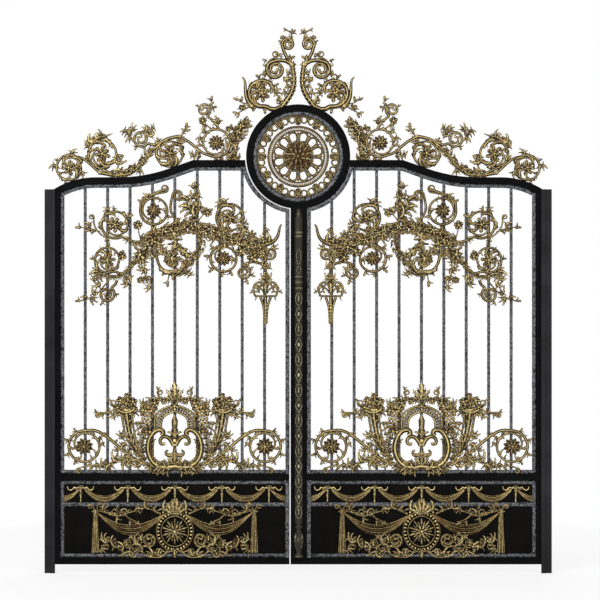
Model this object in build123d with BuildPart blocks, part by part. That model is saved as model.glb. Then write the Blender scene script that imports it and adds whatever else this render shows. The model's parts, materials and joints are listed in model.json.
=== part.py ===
from build123d import *
import os
from math import asin, cos, degrees, hypot, pi, radians, sin, sqrt, tan

# Double-leaf wrought iron driveway gate between its two posts.
# Millimetres. The origin is the middle of the left post's foot, +Z is up, and the gate
# is seen from -Y. Both leaves swing towards +Y.

os.makedirs("parts", exist_ok=True)

# ---------------------------------------------------------------- overall sizes
overall_width = 3600.0      # outer face of one post to the outer face of the other
post_height = 2725.0
post_width = 56.0
post_depth = 60.0

# ---------------------------------------------------------------- leaf frame
frame_depth = 50.0          # box section, front to back
frame_face = 46.0           # box section, seen from the front
trim_face = 28.0            # hammered bar inside the frame
trim_depth = 28.0
ground_gap = 62.0
hinge_gap = 6.0             # post to leaf
meeting_gap = 8.0           # left leaf to the right leaf's mullion
mullion_width = 116.0       # carried by the right leaf, 4 mm off the gate's middle
lock_rail_height = 657.0    # underside of the rail over the solid panels
divider_height = 472.0      # underside of the bar between the two panels
sheet_thickness = 4.0
sheet_back = -2.0           # rear face of the panel sheets
bar_count = 9
bar_size = 21.0

# top edge of a leaf, from the post to the ring
shoulder_radius = 555.0
shoulder_run = 298.0
lower_flat = 160.0
sweep_radius = 1090.0
sweep_angle = 19.3
ring_rise = 122.6           # from the lower flat up to the flat beside the ring

# ---------------------------------------------------------------- hinges
stop_width = 30.0
stop_thickness = 8.0
stop_lap = 11.0             # how far the stop strip lies on the post
pin_diameter = 16.0
pin_clearance = 0.1
barrel_diameter = 26.0
barrel_height = 45.0
axial_gap = 0.3
hinge_plate = 6.0
hinge_set_back = 22.0       # hinge axis behind the post's rear face
hinge_heights = (250.0, 2400.0)

# ---------------------------------------------------------------- medallion
ring_radius = 370.0
ring_lift = 25.4            # ring centre above the flats beside it
rim_trim = 29.0
bead_outer = 220.0
small_scroll_radius = 27.0
medallion_depth = 16.0
petal_count = 12

# ---------------------------------------------------------------- ornament
ornament_depth = 15.0
relief_depth = 14.0
scroll_bar = 18.0           # flat bar of the scrolls
tendril_bar = 13.0
scroll_facets = 7           # straight runs in a turn
scroll_closing = 0.12       # share of its radius a scroll loses in a turn
leaf_spread = 0.5           # a leaf's width as a share of its length
column_radius = 32.0
column_foot = 112.0

# ---------------------------------------------------------------- worked-out places
middle = (overall_width - post_width) / 2
half_width = overall_width / 2
leaf_edge = half_width - post_width - hinge_gap
stile_inner = leaf_edge - frame_face
trim_inner = stile_inner - trim_face
mullion_right = 62.0
mullion_left = mullion_right - mullion_width
opening_edge = mullion_right + trim_face
front = -frame_depth / 2
sheet_front = sheet_back - sheet_thickness

bottom_rail_top = ground_gap + frame_face
panel_bottom = bottom_rail_top + trim_face
divider_top = divider_height + trim_face
swag_top = lock_rail_height - trim_face
lock_rail_top = lock_rail_height + frame_face
grille_bottom = lock_rail_top + trim_face

clear_gap = (trim_inner - opening_edge - bar_count * bar_size) / (bar_count + 1)
bar_pitch = clear_gap + bar_size

shoulder_end = -leaf_edge + shoulder_run
sweep_start = shoulder_end + lower_flat
flat_level = post_height - 1 + shoulder_radius
flat_level -= sqrt(shoulder_radius**2 - shoulder_run**2)
top_level = flat_level + ring_rise
sweep_end = sweep_start + sweep_radius * sin(radians(sweep_angle))
sweep_end_level = flat_level + sweep_radius * (1 - cos(radians(sweep_angle)))
kink = sweep_end + (top_level - sweep_end_level) / tan(radians(sweep_angle))
ring_centre = (0.0, top_level + ring_lift)
ring_clear = ring_radius + meeting_gap


def elevation(y):
    """Front view plane at depth y: x from the gate's middle, y is height."""
    return Plane(origin=(middle, y, 0), x_dir=(1, 0, 0), z_dir=(0, -1, 0))


def bar_x(number):
    """Middle of a leaf's upright, counted from the meeting edge, left leaf."""
    return -(opening_edge + clear_gap + bar_size / 2 + number * bar_pitch)


def on_side(shape, side):
    """A left-leaf outline, or its mirror image for the right leaf."""
    if side < 0:
        return shape
    return mirror(shape, about=Plane.YZ)


def block(x_low, x_high, z_low, z_high):
    """Rectangle given by its edges."""
    with BuildSketch() as shape:
        with Locations(((x_low + x_high) / 2, (z_low + z_high) / 2)):
            Rectangle(x_high - x_low, z_high - z_low)
    return shape.sketch


def leaf_area(drop):
    """All of the left leaf's elevation that lies `drop` or more inside its top edge."""
    convex = shoulder_radius - drop
    concave = sweep_radius + drop
    turn = degrees(asin(shoulder_run / convex))
    corner = kink + drop * tan(radians(sweep_angle / 2))
    with BuildSketch() as area:
        with BuildLine():
            arc = CenterArc((shoulder_end, flat_level - shoulder_radius), convex, 90, turn)
            centre = (sweep_start, flat_level + sweep_radius)
            sweep_arc = CenterArc(centre, concave, 270, sweep_angle)
            Line(arc @ 0, sweep_arc @ 0)
            Line(sweep_arc @ 1, (corner, top_level - drop))
            Line((corner, top_level - drop), (0, top_level - drop))
            Line((0, top_level - drop), (0, 0))
            Line((0, 0), (-leaf_edge, 0))
            Line((-leaf_edge, 0), arc @ 1)
        make_face()
    return area.sketch


def disc(radius):
    """Round area about the middle of the ring."""
    with BuildSketch() as shape:
        with Locations(ring_centre):
            Circle(radius)
    return shape.sketch


def keep(piece, name):
    """Label a finished piece and write its file."""
    piece.part.label = name
    export_step(piece.part, f"parts/{name}.step")


def slab(outline, side, y_front, y_back):
    """Extruded outline between two depths."""
    with BuildPart() as piece:
        with BuildSketch(elevation(y_back)):
            add(on_side(outline, side))
        extrude(amount=y_back - y_front)
    return piece


# ---------------------------------------------------------------- ornament shapes
def polygon(places):
    """Face with straight edges."""
    with BuildSketch() as shape:
        with BuildLine():
            Polyline(*places, close=True)
        make_face()
    return shape.sketch


def strip(places, width=scroll_bar):
    """Flat bar along a run of places."""
    one_edge = []
    other_edge = []
    for number, (x, z) in enumerate(places):
        before = places[max(number - 1, 0)]
        after = places[min(number + 1, len(places) - 1)]
        run = (after[0] - before[0], after[1] - before[1])
        share = width / 2 / hypot(*run)
        one_edge.append((x - run[1] * share, z + run[0] * share))
        other_edge.append((x + run[1] * share, z - run[0] * share))
    return polygon((*one_edge, *reversed(other_edge)))


def around(centre, radius, angle):
    """Place at a distance and direction from another."""
    turn = radians(angle)
    return (centre[0] + radius * cos(turn), centre[1] + radius * sin(turn))


def scroll(centre, radius, start, hand, eye, lead=()):
    """Flat bar that leaves its lead-in, winds most of a turn and runs in to a solid eye."""
    path = []
    reach = radius - scroll_bar / 2
    for step in range(scroll_facets):
        share = step / scroll_facets
        path.append(around(centre, reach * (1 - scroll_closing * share), start + hand * 360 * share))
    return joined((strip((*lead, *path, centre)), flower(centre, eye)))


def ring_leaf(volute, angle, turn, length):
    """Leaf that grows from the outside of a scroll."""
    centre, radius = volute[:2]
    return leaf(around(centre, radius * 0.78, angle), angle + turn, length + radius * 0.12)


def curl(centre, radius, lead):
    """Tendril that ends in a small solid roll."""
    return joined((strip((*lead, centre), tendril_bar), flower(centre, radius)))


def leaf(base, direction, length, spread=leaf_spread):
    """Pointed leaf, widest a third of the way up."""
    third = around(base, length * 0.36, direction)
    half_spread = length * spread / 2
    return polygon(
        (
            base,
            around(third, half_spread, direction - 90),
            around(base, length, direction),
            around(third, half_spread, direction + 90),
        )
    )


def flower(centre, radius, sides=5):
    """Flat block for a flower or the roll of a scroll."""
    return polygon([around(centre, radius, 90 + 360 * step / sides) for step in range(sides)])


def joined(pieces):
    """One outline made of many."""
    with BuildSketch() as shape:
        for piece in pieces:
            add(piece)
    return shape.sketch


def cut(outline, tool):
    """Outline with a second one taken away."""
    with BuildSketch() as shape:
        add(outline)
        add(tool, mode=Mode.SUBTRACT)
    return shape.sketch


def within(outline, limit):
    """What lies inside both outlines."""
    with BuildSketch() as shape:
        add(outline)
        add(limit, mode=Mode.INTERSECT)
    return shape.sketch


def both_ways(outline):
    """An outline and its mirror image."""
    return joined((outline, mirror(outline, about=Plane.YZ)))


def hung(outline, x, z):
    """Outline drawn about its own origin, x away from the meeting edge, set on the left leaf."""
    return Location((x, z, 0)) * mirror(outline, about=Plane.YZ)


# ---------------------------------------------------------------- posts
post_right_face = half_width - post_width
stop_outer = post_right_face + stop_lap
stop_inner = stop_outer - stop_width

for side, hand in ((-1, "left"), (1, "right")):
    post = slab(
        block(-half_width, -post_right_face, 0, post_height), side, -post_depth / 2, post_depth / 2
    )
    keep(post, hand + "_post")

    stop_back = -post_depth / 2
    stop_strip = slab(
        block(-stop_outer, -stop_inner, 0, post_height), side, stop_back - stop_thickness, stop_back
    )
    keep(stop_strip, hand + "_stop_strip")

# ---------------------------------------------------------------- hinges
pin_x = (leaf_edge + post_right_face) / 2
pin_y = post_depth / 2 + hinge_set_back
neck_width = 14.0
neck_inset = 4.0
plate_width = 38.0


def hinge_half(side, fixed):
    """Hinge halves of one post or leaf: plate, neck and barrel, with the pin on the fixed ones."""
    away = 1 if fixed else -1
    plate_back = post_depth / 2 if fixed else frame_depth / 2
    near = away * side * neck_inset
    far = away * side * (neck_inset + plate_width)
    neck_far = away * side * (neck_inset + neck_width)
    axis_x = middle + side * pin_x
    with BuildPart() as halves:
        for height in hinge_heights:
            level = height if fixed else height + barrel_height + axial_gap
            with BuildSketch(Plane.XY.offset(level)):
                with Locations((axis_x, pin_y)):
                    RegularPolygon(barrel_diameter / 2, 8)
                with Locations((axis_x + (near + neck_far) / 2, (plate_back + pin_y) / 2)):
                    Rectangle(abs(neck_far - near), pin_y - plate_back)
                plate_y = plate_back + hinge_plate / 2
                with Locations((axis_x + (near + far) / 2, plate_y)):
                    Rectangle(abs(far - near), hinge_plate)
                if not fixed:
                    with Locations((axis_x, pin_y)):
                        Circle(pin_diameter / 2 + pin_clearance, mode=Mode.SUBTRACT)
            extrude(amount=barrel_height)
            if fixed:
                with BuildSketch(Plane.XY.offset(level + barrel_height)):
                    with Locations((axis_x, pin_y)):
                        Circle(pin_diameter / 2)
                extrude(amount=barrel_height)
    return halves


for side, hand in ((-1, "left"), (1, "right")):
    keep(hinge_half(side, True), hand + "_post_hinges")
    keep(hinge_half(side, False), hand + "_leaf_hinges")

# ---------------------------------------------------------------- leaf frames
hinge_stile = within(block(-leaf_edge, -stile_inner, ground_gap, top_level), leaf_area(frame_face))
rail_band = cut(leaf_area(0), leaf_area(frame_face))
trim_band = cut(
    within(leaf_area(frame_face), block(-stile_inner, 0, post_height / 2, top_level)),
    leaf_area(frame_face + trim_face),
)
bar_area = leaf_area(frame_face + trim_face)
cross_levels = (
    (bottom_rail_top, panel_bottom),
    (divider_height, divider_top),
    (swag_top, lock_rail_height),
    (lock_rail_top, grille_bottom),
)

for side, hand in ((-1, "left"), (1, "right")):
    clear = ring_clear if side < 0 else ring_radius
    arc_outer = clear + trim_face

    keep(slab(hinge_stile, side, front, -front), hand + "_hinge_stile")

    top_rail = cut(rail_band, disc(clear))
    keep(slab(top_rail, side, front, -front), hand + "_top_rail")

    rails = joined(
        (
            block(-stile_inner, -mullion_right, ground_gap, bottom_rail_top),
            block(-stile_inner, -mullion_right, lock_rail_height, lock_rail_top),
        )
    )
    keep(slab(rails, side, front, -front), hand + "_rails")

    arc = within(
        cut(disc(arc_outer), disc(clear)),
        within(leaf_area(frame_face), block(-leaf_edge, -mullion_right, 0, top_level)),
    )
    keep(slab(arc, side, front, -front), hand + "_ring_arc")

    top_trim = cut(trim_band, disc(arc_outer))
    half_trim = trim_depth / 2
    keep(slab(top_trim, side, -half_trim, half_trim), hand + "_top_trim")

    cross_trims = joined([block(-stile_inner, -opening_edge, low, high) for low, high in cross_levels])
    keep(slab(cross_trims, side, -half_trim, half_trim), hand + "_cross_trims")

    # upright trims beside the hinge stile, between the cross trims
    side_trims = joined(
        (
            block(-stile_inner, -trim_inner, panel_bottom, divider_height),
            block(-stile_inner, -trim_inner, divider_top, swag_top),
            within(block(-stile_inner, -trim_inner, grille_bottom, top_level), bar_area),
        )
    )
    keep(slab(side_trims, side, -half_trim, half_trim), hand + "_side_trims")

    # uprights at the meeting edge, broken by the lock rail
    edge_bars = joined(
        (
            block(-opening_edge, -mullion_right, bottom_rail_top, lock_rail_height),
            cut(
                block(-opening_edge, -mullion_right, lock_rail_top, ring_centre[1]),
                disc(arc_outer),
            ),
        )
    )
    keep(slab(edge_bars, side, front, -front), hand + "_meeting_bars")

    uprights = cut(
        within(
            joined(
                [
                    block(bar_x(n) - bar_size / 2, bar_x(n) + bar_size / 2, grille_bottom, top_level)
                    for n in range(bar_count)
                ]
            ),
            bar_area,
        ),
        disc(arc_outer),
    )
    keep(slab(uprights, side, -bar_size / 2, bar_size / 2), hand + "_bars")

    sheets = joined(
        (
            block(-trim_inner, -opening_edge, panel_bottom, divider_height),
            block(-trim_inner, -opening_edge, divider_top, swag_top),
        )
    )
    keep(slab(sheets, side, sheet_front, sheet_back), hand + "_panel_sheets")

# ---------------------------------------------------------------- right leaf's mullion
mullion = cut(block(mullion_left, mullion_right, ground_gap, ring_centre[1]), disc(ring_radius))
keep(slab(mullion, -1, front, -front), "mullion")

# faceted half-round column on its face: foot, vase, banded shaft and pointed head
column_x = (mullion_left + mullion_right) / 2
column_top = ring_centre[1] - ring_radius - 2
column_facets = 6
column_rings = (
    # height, share of the radius
    (column_foot, 1.0), (column_foot + 36, 0.6), (column_foot + 120, 1.0), (column_foot + 190, 0.7),
    (column_top - 190, 0.8), (column_top - 165, 1.0), (column_top - 90, 1.0), (column_top, 0.15),
)
with BuildPart() as centre_column:
    for level, share in column_rings:
        section = [
            around((0, 0), column_radius * share, 180 + 180 * n / column_facets)
            for n in range(column_facets + 1)
        ]
        with BuildSketch(Plane(origin=(middle + column_x, front, level))):
            add(polygon(section))
    loft(ruled=True)
keep(centre_column, "centre_column")

# ---------------------------------------------------------------- medallion
ring = cut(disc(ring_radius), disc(ring_radius - frame_face))
keep(slab(ring, -1, front, -front), "medallion_ring")

rim_inner = ring_radius - frame_face - rim_trim
rim = cut(disc(ring_radius - frame_face), disc(rim_inner))
keep(slab(rim, -1, -trim_depth / 2, trim_depth / 2), "medallion_rim")

# band of small scroll eyes in pairs, a hair clear of the circles on both sides of it
sector = 360 / petal_count
pair_offset = sector * 0.22
pair_reach = (rim_inner + bead_outer) / 2
band_sides = 2 * petal_count
band_clear = 0.4
half_medallion = medallion_depth / 2
with BuildSketch() as scroll_band:
    with Locations(ring_centre):
        RegularPolygon(rim_inner - band_clear, band_sides)
        RegularPolygon(bead_outer + band_clear, band_sides, mode=Mode.SUBTRACT)
    for n in range(petal_count):
        for turn in ((n + 0.5) * sector - pair_offset, (n + 0.5) * sector + pair_offset):
            eye = flower(around(ring_centre, pair_reach, turn), small_scroll_radius)
            add(eye, mode=Mode.SUBTRACT)
keep(slab(scroll_band.sketch, -1, -half_medallion, half_medallion), "scroll_circle")

# rose window: a beaded ring and spokes that end in arches
petal_round = 36.0
petal_reach = 151.0
petal_tip = 62.0
arch_facets = 4
with BuildSketch() as window:
    with Locations(ring_centre):
        RegularPolygon(bead_outer, band_sides)
    for n in range(petal_count):
        turn = (n + 0.5) * sector
        arch_middle = around(ring_centre, petal_reach, turn)
        arch = [
            around(arch_middle, petal_round, turn - 90 + 180 * step / arch_facets)
            for step in range(arch_facets + 1)
        ]
        add(polygon((around(ring_centre, petal_tip, turn), *arch)), mode=Mode.SUBTRACT)
keep(slab(window.sketch, -1, -half_medallion, half_medallion), "rose_window")

# layered rosette on the window's face
rosette_petals = 8
rosette_layers = (
    # tip radius, valley radius, turn, thickness
    (108.0, 70.0, 0.0, 12.0),
    (74.0, 46.0, 22.5, 10.0),
    (30.0, 24.0, 0.0, 8.0),
)
rosette_face = -half_medallion
with BuildPart() as rosette:
    for tip_radius, valley_radius, turn, thickness in rosette_layers:
        star = []
        for n in range(rosette_petals):
            tip_turn = turn + n * 360 / rosette_petals
            star.append(around(ring_centre, tip_radius, tip_turn))
            star.append(around(ring_centre, valley_radius, tip_turn + 180 / rosette_petals))
        with BuildSketch(elevation(rosette_face)):
            add(polygon(star))
        extrude(amount=thickness)
        rosette_face -= thickness
keep(rosette, "rosette")

# ---------------------------------------------------------------- swags on the upper panel
swag_count = 5
swag_sag = 96.0
swag_width = 38.0
bow_reach = 94.0
panel_width = trim_inner - opening_edge
swag_pitch = panel_width / (swag_count - 0.28)
panel_middle = -(trim_inner + opening_edge) / 2
hang_level = swag_top - 32


def swag(left_end, right_end):
    """Crescent of cloth that hangs between two places."""
    width = right_end[0] - left_end[0]
    lower = []
    upper = []
    for share in (0, 0.25, 0.5, 0.75, 1):
        dip = 4 * share * (1 - share)
        x = left_end[0] + width * share
        lower.append((x, left_end[1] - dip * swag_sag))
        upper.append((x, left_end[1] - dip * (swag_sag - swag_width) + 8))
    return polygon((*lower, *reversed(upper)))


def bow(centre):
    """Ribbon bow with a cap and a tassel."""
    x, z = centre
    half_reach = bow_reach / 2
    ribbon = [(x - bow_reach, z + 14), (x - half_reach, z - 2), (x + half_reach, z - 2), (x + bow_reach, z + 14)]
    return joined((strip(ribbon), leaf((x, z - 96), 90, 128, 0.4)))


bow_places = [
    (panel_middle + (n - (swag_count - 1) / 2) * swag_pitch, hang_level) for n in range(swag_count)
]
first = (bow_places[0][0] - swag_pitch, hang_level)
last = (bow_places[-1][0] + swag_pitch, hang_level)
swag_pieces = [bow(place) for place in bow_places]
for start, end in zip((first, *bow_places), (*bow_places, last)):
    swag_pieces.append(swag(start, end))
swag_outline = within(joined(swag_pieces), block(-trim_inner, -opening_edge, divider_top, swag_top))

# ---------------------------------------------------------------- drapery on the lower panel
# places from the panel's middle and its lower edge
roundel_height = 158.0
roundel_width = 268.0
roundel_tall = 296.0
curtain_x = 564.0
curtain_top = 304.0
roundel_sides = 12
roundel = []
for n in range(roundel_sides):
    turn = 2 * pi * n / roundel_sides
    roundel.append((roundel_width / 2 * cos(turn), roundel_height + roundel_tall / 2 * sin(turn)))
cloth = strip(((curtain_x, curtain_top - 8), (470, 212), (360, 160), (230, 176), (140, 232), (70, 284)), 62)
tassel = polygon(
    (
        (curtain_x - 22, curtain_top + 16), (curtain_x + 22, curtain_top + 16),
        (curtain_x + 32, 0), (curtain_x - 32, 0),
    )
)
drapery_side = joined(
    (
        cloth,
        tassel,
        leaf((curtain_x, curtain_top), 20, 80),
        strip(((curtain_x, curtain_top + 8), (500, 300), (400, 296)), 40),
        strip(((40, 14), (225, 10), (300, 16), (400, 64), (500, 118)), 24),
        curl((185, 95), 46, ((225, 10), (252, 60))),
        leaf((250, 14), 50, 150),
        leaf((300, 18), 32, 140),
        leaf((380, 55), 68, 100),
        leaf((130, 278), 20, 140),
    )
)
drapery_drawn = joined(
    (polygon(roundel), both_ways(drapery_side), leaf((0, 280), 90, 110), leaf((0, 30), 270, 64, 0.9))
)
drapery_outline = within(
    hung(drapery_drawn, panel_middle, panel_bottom),
    block(-trim_inner, -opening_edge, panel_bottom, divider_height),
)

# ---------------------------------------------------------------- cartouche on the lower bars
# places from the middle upright and the trim it stands on
middle_bar = bar_x((bar_count - 1) / 2)
heart = ((0, 22), (110, 22), (175, 72), (196, 150), (172, 240), (120, 288), (78, 268))
arch = ((98, 284), (106, 340), (72, 396), (0, 418))
cartouche_side = joined(
    (
        strip(heart, 46),
        strip(arch, 40),
        strip(((4, 190), (40, 244), (104, 205)), 30),
        strip(((4, 120), (40, 98), (66, 128)), 20),
        # horn of flowers
        strip(((225, 50), (295, 150), (345, 400)), 48),
        flower((350, 448), 84),
        strip(((380, 430), (440, 474)), 44),
        leaf((380, 400), 20, 120),
        # grapes and flowers between horn and arch
        flower((195, 350), 70),
        strip(((80, 420), (140, 470), (215, 438)), 44),
        # leaves and branch that run out along the trim
        leaf((200, 60), -12, 200),
        leaf((280, 85), -22, 190),
        strip(((150, 20), (480, 10), (700, 8)), 20),
        scroll((642, 168), 124, 100, -1, 66, ((320, 100), (435, 200), (510, 258), (575, 286))),
    )
)
cartouche_drawn = joined(
    (
        both_ways(cartouche_side),
        leaf((0, 0), 90, 395, 0.24),
        leaf((0, 410), 90, 225, 0.36),
        leaf((0, 420), 68, 180, 0.4),
        leaf((0, 420), 112, 180, 0.4),
        leaf((0, 440), 35, 130),
        leaf((0, 440), 145, 130),
    )
)
cartouche_outline = cut(
    hung(cartouche_drawn, middle_bar, grille_bottom), block(-half_width, 0, 0, grille_bottom)
)

# ---------------------------------------------------------------- spray over the upper bars
# places from the middle upright and the post head
spray_scrolls = (
    # middle, radius, outer end in degrees, hand, eye, places that lead to it
    ((424, -251), 106, 235, 1, 48, ((165, -345), (235, -375), (300, -375))),
    ((148, -153), 106, 20, -1, 52, ((65, 0), (180, -42), (240, -80))),
    ((-393, -201), 110, -35, 1, 50, ((-400, -350), (-335, -300))),
    ((477, -502), 102, 235, 1, 46, ((370, -612),)),
    ((18, -488), 118, -10, -1, 56, ((115, -330), (140, -410))),
    ((-348, -491), 108, 95, -1, 58, ((-430, -380),)),
)
spray_curls = (
    # middle, radius, places that lead to it
    ((482, -745), 64, ((410, -620),)),
    ((-678, -455), 50, ((-600, -420),)),
    ((-490, -590), 50, ((-600, -470),)),
    ((-20, -45), 46, ((-45, -265), (-10, -150))),
)
spray_strips = (
    # run, width
    (((-335, -325), (-220, -290), (-90, -262), (0, -272), (90, -310), (200, -375)), 68),
    (((-325, -322), (-435, -355), (-525, -375), (-590, -405), (-625, -475)), 70),
    (((150, -250), (110, -330)), 24),
    (((-205, -290), (-210, -385), (-150, -460), (-80, -535)), 48),
    (((190, -350), (205, -430), (285, -525), (370, -612), (455, -630), (545, -745), (675, -795)), 22),
    (((-640, -470), (-650, -580), (-650, -760)), 24),
    (((-165, -250), (-140, -145), (-130, 20)), 16),
    (((-165, -235), (-235, -165)), 16),
    (((500, -310), (590, -268), (685, -268)), 18),
    (((-735, -712), (-690, -676), (-610, -676), (-565, -712)), 40),
)
spray_leaves = (
    # foot, direction, length
    ((-600, -410), 135, 210), ((-140, -130), 62, 130), ((-140, -60), 105, 130),
    ((-150, -215), 35, 130), ((0, -290), 272, 140), ((175, -350), 270, 150), ((230, -430), 300, 150),
    ((205, -440), 272, 250), ((468, -645), -25, 160), ((-430, -560), 215, 110),
)
spray_ring_leaves = (
    # scroll, where round it, lean, length
    (0, 20, 0, 90), (2, 120, 0, 80), (4, 262, -60, 110), (5, 160, 10, 90),
)
spray_flowers = ((-235, -165), (-540, -455), (-545, -335), (-470, -410))
spray_pieces = [scroll(*values) for values in spray_scrolls]
spray_pieces += [curl(*values) for values in spray_curls]
spray_pieces += [strip(*values) for values in spray_strips]
spray_pieces += [leaf(*values) for values in spray_leaves]
spray_pieces += [ring_leaf(spray_scrolls[number], *values) for number, *values in spray_ring_leaves]
spray_pieces += [flower(place, 48) for place in spray_flowers]
spray_pieces.append(leaf((-650, -752), 270, 200, 0.28))
spray_outline = within(
    hung(joined(spray_pieces), middle_bar, post_height),
    block(-trim_inner, -mullion_right - 4, lock_rail_top, post_height + 400),
)


# ---------------------------------------------------------------- crest on the top rail
def outer(inset, rise):
    """Place by its distance from the leaf's outer edge and its height over the lower flat."""
    return (leaf_edge - inset, flat_level + rise)


def inner(out, rise):
    """Place by its distance from the gate's middle and its height over the ring's."""
    return (out, ring_centre[1] + rise)


crest_scrolls = (
    (outer(109, 70), 101, 125, -1, 44, (outer(325, 34), outer(275, 80), outer(228, 122), outer(190, 143))),
    (outer(346, 166), 113, 275, 1, 52, (outer(528, 20), outer(450, 10), outer(395, 32))),
    (outer(622, 276), 64, 210, 1, 34, (outer(760, 255), outer(705, 222))),
    (outer(824, 170), 106, 60, -1, 50),
    (inner(583, 97), 112, -55, -1, 62, (outer(893, 293), inner(765, 105), inner(695, 30))),
    (inner(669, 332), 54, 250, -1, 30, (inner(565, 200), inner(595, 255))),
)
crest_strips = (
    ((outer(325, 34), outer(450, 8), outer(575, 34), outer(680, 172), outer(740, 230), outer(808, 283),
      outer(893, 293)), 20),
    ((inner(435, -20), inner(455, 60), inner(435, 140), inner(395, 200)), 66),
    ((inner(540, 195), inner(430, 185)), 14),
)
crest_leaves = (
    (outer(470, 10), 150, 120), (outer(560, 40), 200, 110), (outer(905, 290), 110, 90),
)
crest_ring_leaves = (
    # scroll, where round it, lean, length
    (0, 85, 0, 60), (0, 190, -10, 100), (1, 65, 10, 80), (1, 112, 25, 110), (2, 22, 0, 90),
    (2, 140, 0, 110), (3, 188, -8, 120), (4, 12, 0, 80), (4, 268, 0, 60), (5, 135, 0, 60),
)
crest_drawn = joined(
    (
        *[scroll(*values) for values in crest_scrolls],
        *[strip(*values) for values in crest_strips],
        *[leaf(*values) for values in crest_leaves],
        *[ring_leaf(crest_scrolls[number], *values) for number, *values in crest_ring_leaves],
    )
)
crest_clear = 14.0
beside_rail = block(-half_width, -leaf_edge, 0, post_height + 8)
crest_outline = cut(
    cut(hung(crest_drawn, 0, 0), joined((leaf_area(0), beside_rail))), disc(ring_radius + crest_clear)
)

for side, hand in ((-1, "left"), (1, "right")):
    bar_front = -bar_size / 2
    keep(slab(spray_outline, side, bar_front - ornament_depth, bar_front), hand + "_spray")
    keep(slab(cartouche_outline, side, bar_front - ornament_depth, bar_front), hand + "_cartouche")
    keep(slab(swag_outline, side, sheet_front - relief_depth, sheet_front), hand + "_swags")
    keep(slab(drapery_outline, side, sheet_front - relief_depth, sheet_front), hand + "_drapery")
    keep(slab(crest_outline, side, -ornament_depth / 2, ornament_depth / 2), hand + "_crest")

# ---------------------------------------------------------------- crown over the ring
crown_gap = 9.0
crown_line = (inner(130, 330), inner(60, 425), inner(26, 500), inner(22, 590), inner(40, 655))
crown_scrolls = (
    (inner(258, 451), 113, 250, 1, 58, (inner(110, 362), inner(170, 322))),
    (inner(163, 620), 76, 70, -1, 36, (inner(40, 655), inner(95, 696))),
    (inner(73, 800), 54, -35, 1, 28, (inner(40, 655), inner(92, 715))),
)
crown_drawn = joined(
    (
        strip(crown_line),
        *[scroll(*values) for values in crown_scrolls],
        curl(inner(163, 726), 28, (inner(163, 688),)),
        strip((inner(55, 842), inner(52, 880), inner(90, 922)), tendril_bar),
        leaf(inner(360, 425), 82, 135, 0.3),
        strip((inner(318, 378), inner(390, 375), inner(445, 412)), tendril_bar),
        strip((inner(310, 362), inner(470, 304)), tendril_bar),
        leaf(inner(30, 520), 20, 80),
        ring_leaf(crown_scrolls[0], 155, -20, 80),
        leaf(inner(40, 655), 160, 50),
    )
)
crown_outline = cut(
    within(hung(crown_drawn, 0, 0), block(-half_width, -crown_gap, 0, 2 * post_height)),
    disc(ring_radius),
)
for side, hand in ((-1, "left"), (1, "right")):
    keep(slab(crown_outline, side, -ornament_depth / 2, ornament_depth / 2), "crown_" + hand)
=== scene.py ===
import json
import random
from math import atan2, cos, pi, radians, sin, sqrt

import bmesh
import bpy
import numpy as np
from mathutils import Matrix, Vector

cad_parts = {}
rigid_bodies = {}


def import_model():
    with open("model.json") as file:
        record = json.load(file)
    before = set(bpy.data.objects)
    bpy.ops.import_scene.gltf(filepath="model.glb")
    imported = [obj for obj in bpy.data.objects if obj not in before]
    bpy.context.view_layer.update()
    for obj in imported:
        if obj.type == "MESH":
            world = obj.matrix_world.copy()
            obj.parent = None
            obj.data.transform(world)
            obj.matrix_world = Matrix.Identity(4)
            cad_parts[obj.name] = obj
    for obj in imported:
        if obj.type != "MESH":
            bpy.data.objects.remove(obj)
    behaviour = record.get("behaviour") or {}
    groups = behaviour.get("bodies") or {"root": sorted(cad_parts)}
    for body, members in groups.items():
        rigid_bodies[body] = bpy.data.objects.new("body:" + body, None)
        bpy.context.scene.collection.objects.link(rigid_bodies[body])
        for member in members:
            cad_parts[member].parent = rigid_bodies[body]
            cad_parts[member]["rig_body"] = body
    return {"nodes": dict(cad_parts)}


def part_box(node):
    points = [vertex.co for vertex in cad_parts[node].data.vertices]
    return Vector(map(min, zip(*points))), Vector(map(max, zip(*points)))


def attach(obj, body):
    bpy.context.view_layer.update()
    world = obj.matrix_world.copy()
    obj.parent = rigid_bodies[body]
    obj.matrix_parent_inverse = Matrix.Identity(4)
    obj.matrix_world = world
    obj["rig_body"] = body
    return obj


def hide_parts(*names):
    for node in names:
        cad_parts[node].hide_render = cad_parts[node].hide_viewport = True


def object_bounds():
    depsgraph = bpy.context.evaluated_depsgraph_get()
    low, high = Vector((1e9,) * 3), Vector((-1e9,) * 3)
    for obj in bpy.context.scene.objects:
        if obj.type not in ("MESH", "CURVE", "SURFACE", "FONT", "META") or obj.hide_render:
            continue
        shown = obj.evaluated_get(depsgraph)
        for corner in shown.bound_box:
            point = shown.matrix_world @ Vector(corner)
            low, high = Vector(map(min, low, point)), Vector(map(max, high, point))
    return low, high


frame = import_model()
cad_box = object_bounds()

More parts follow.
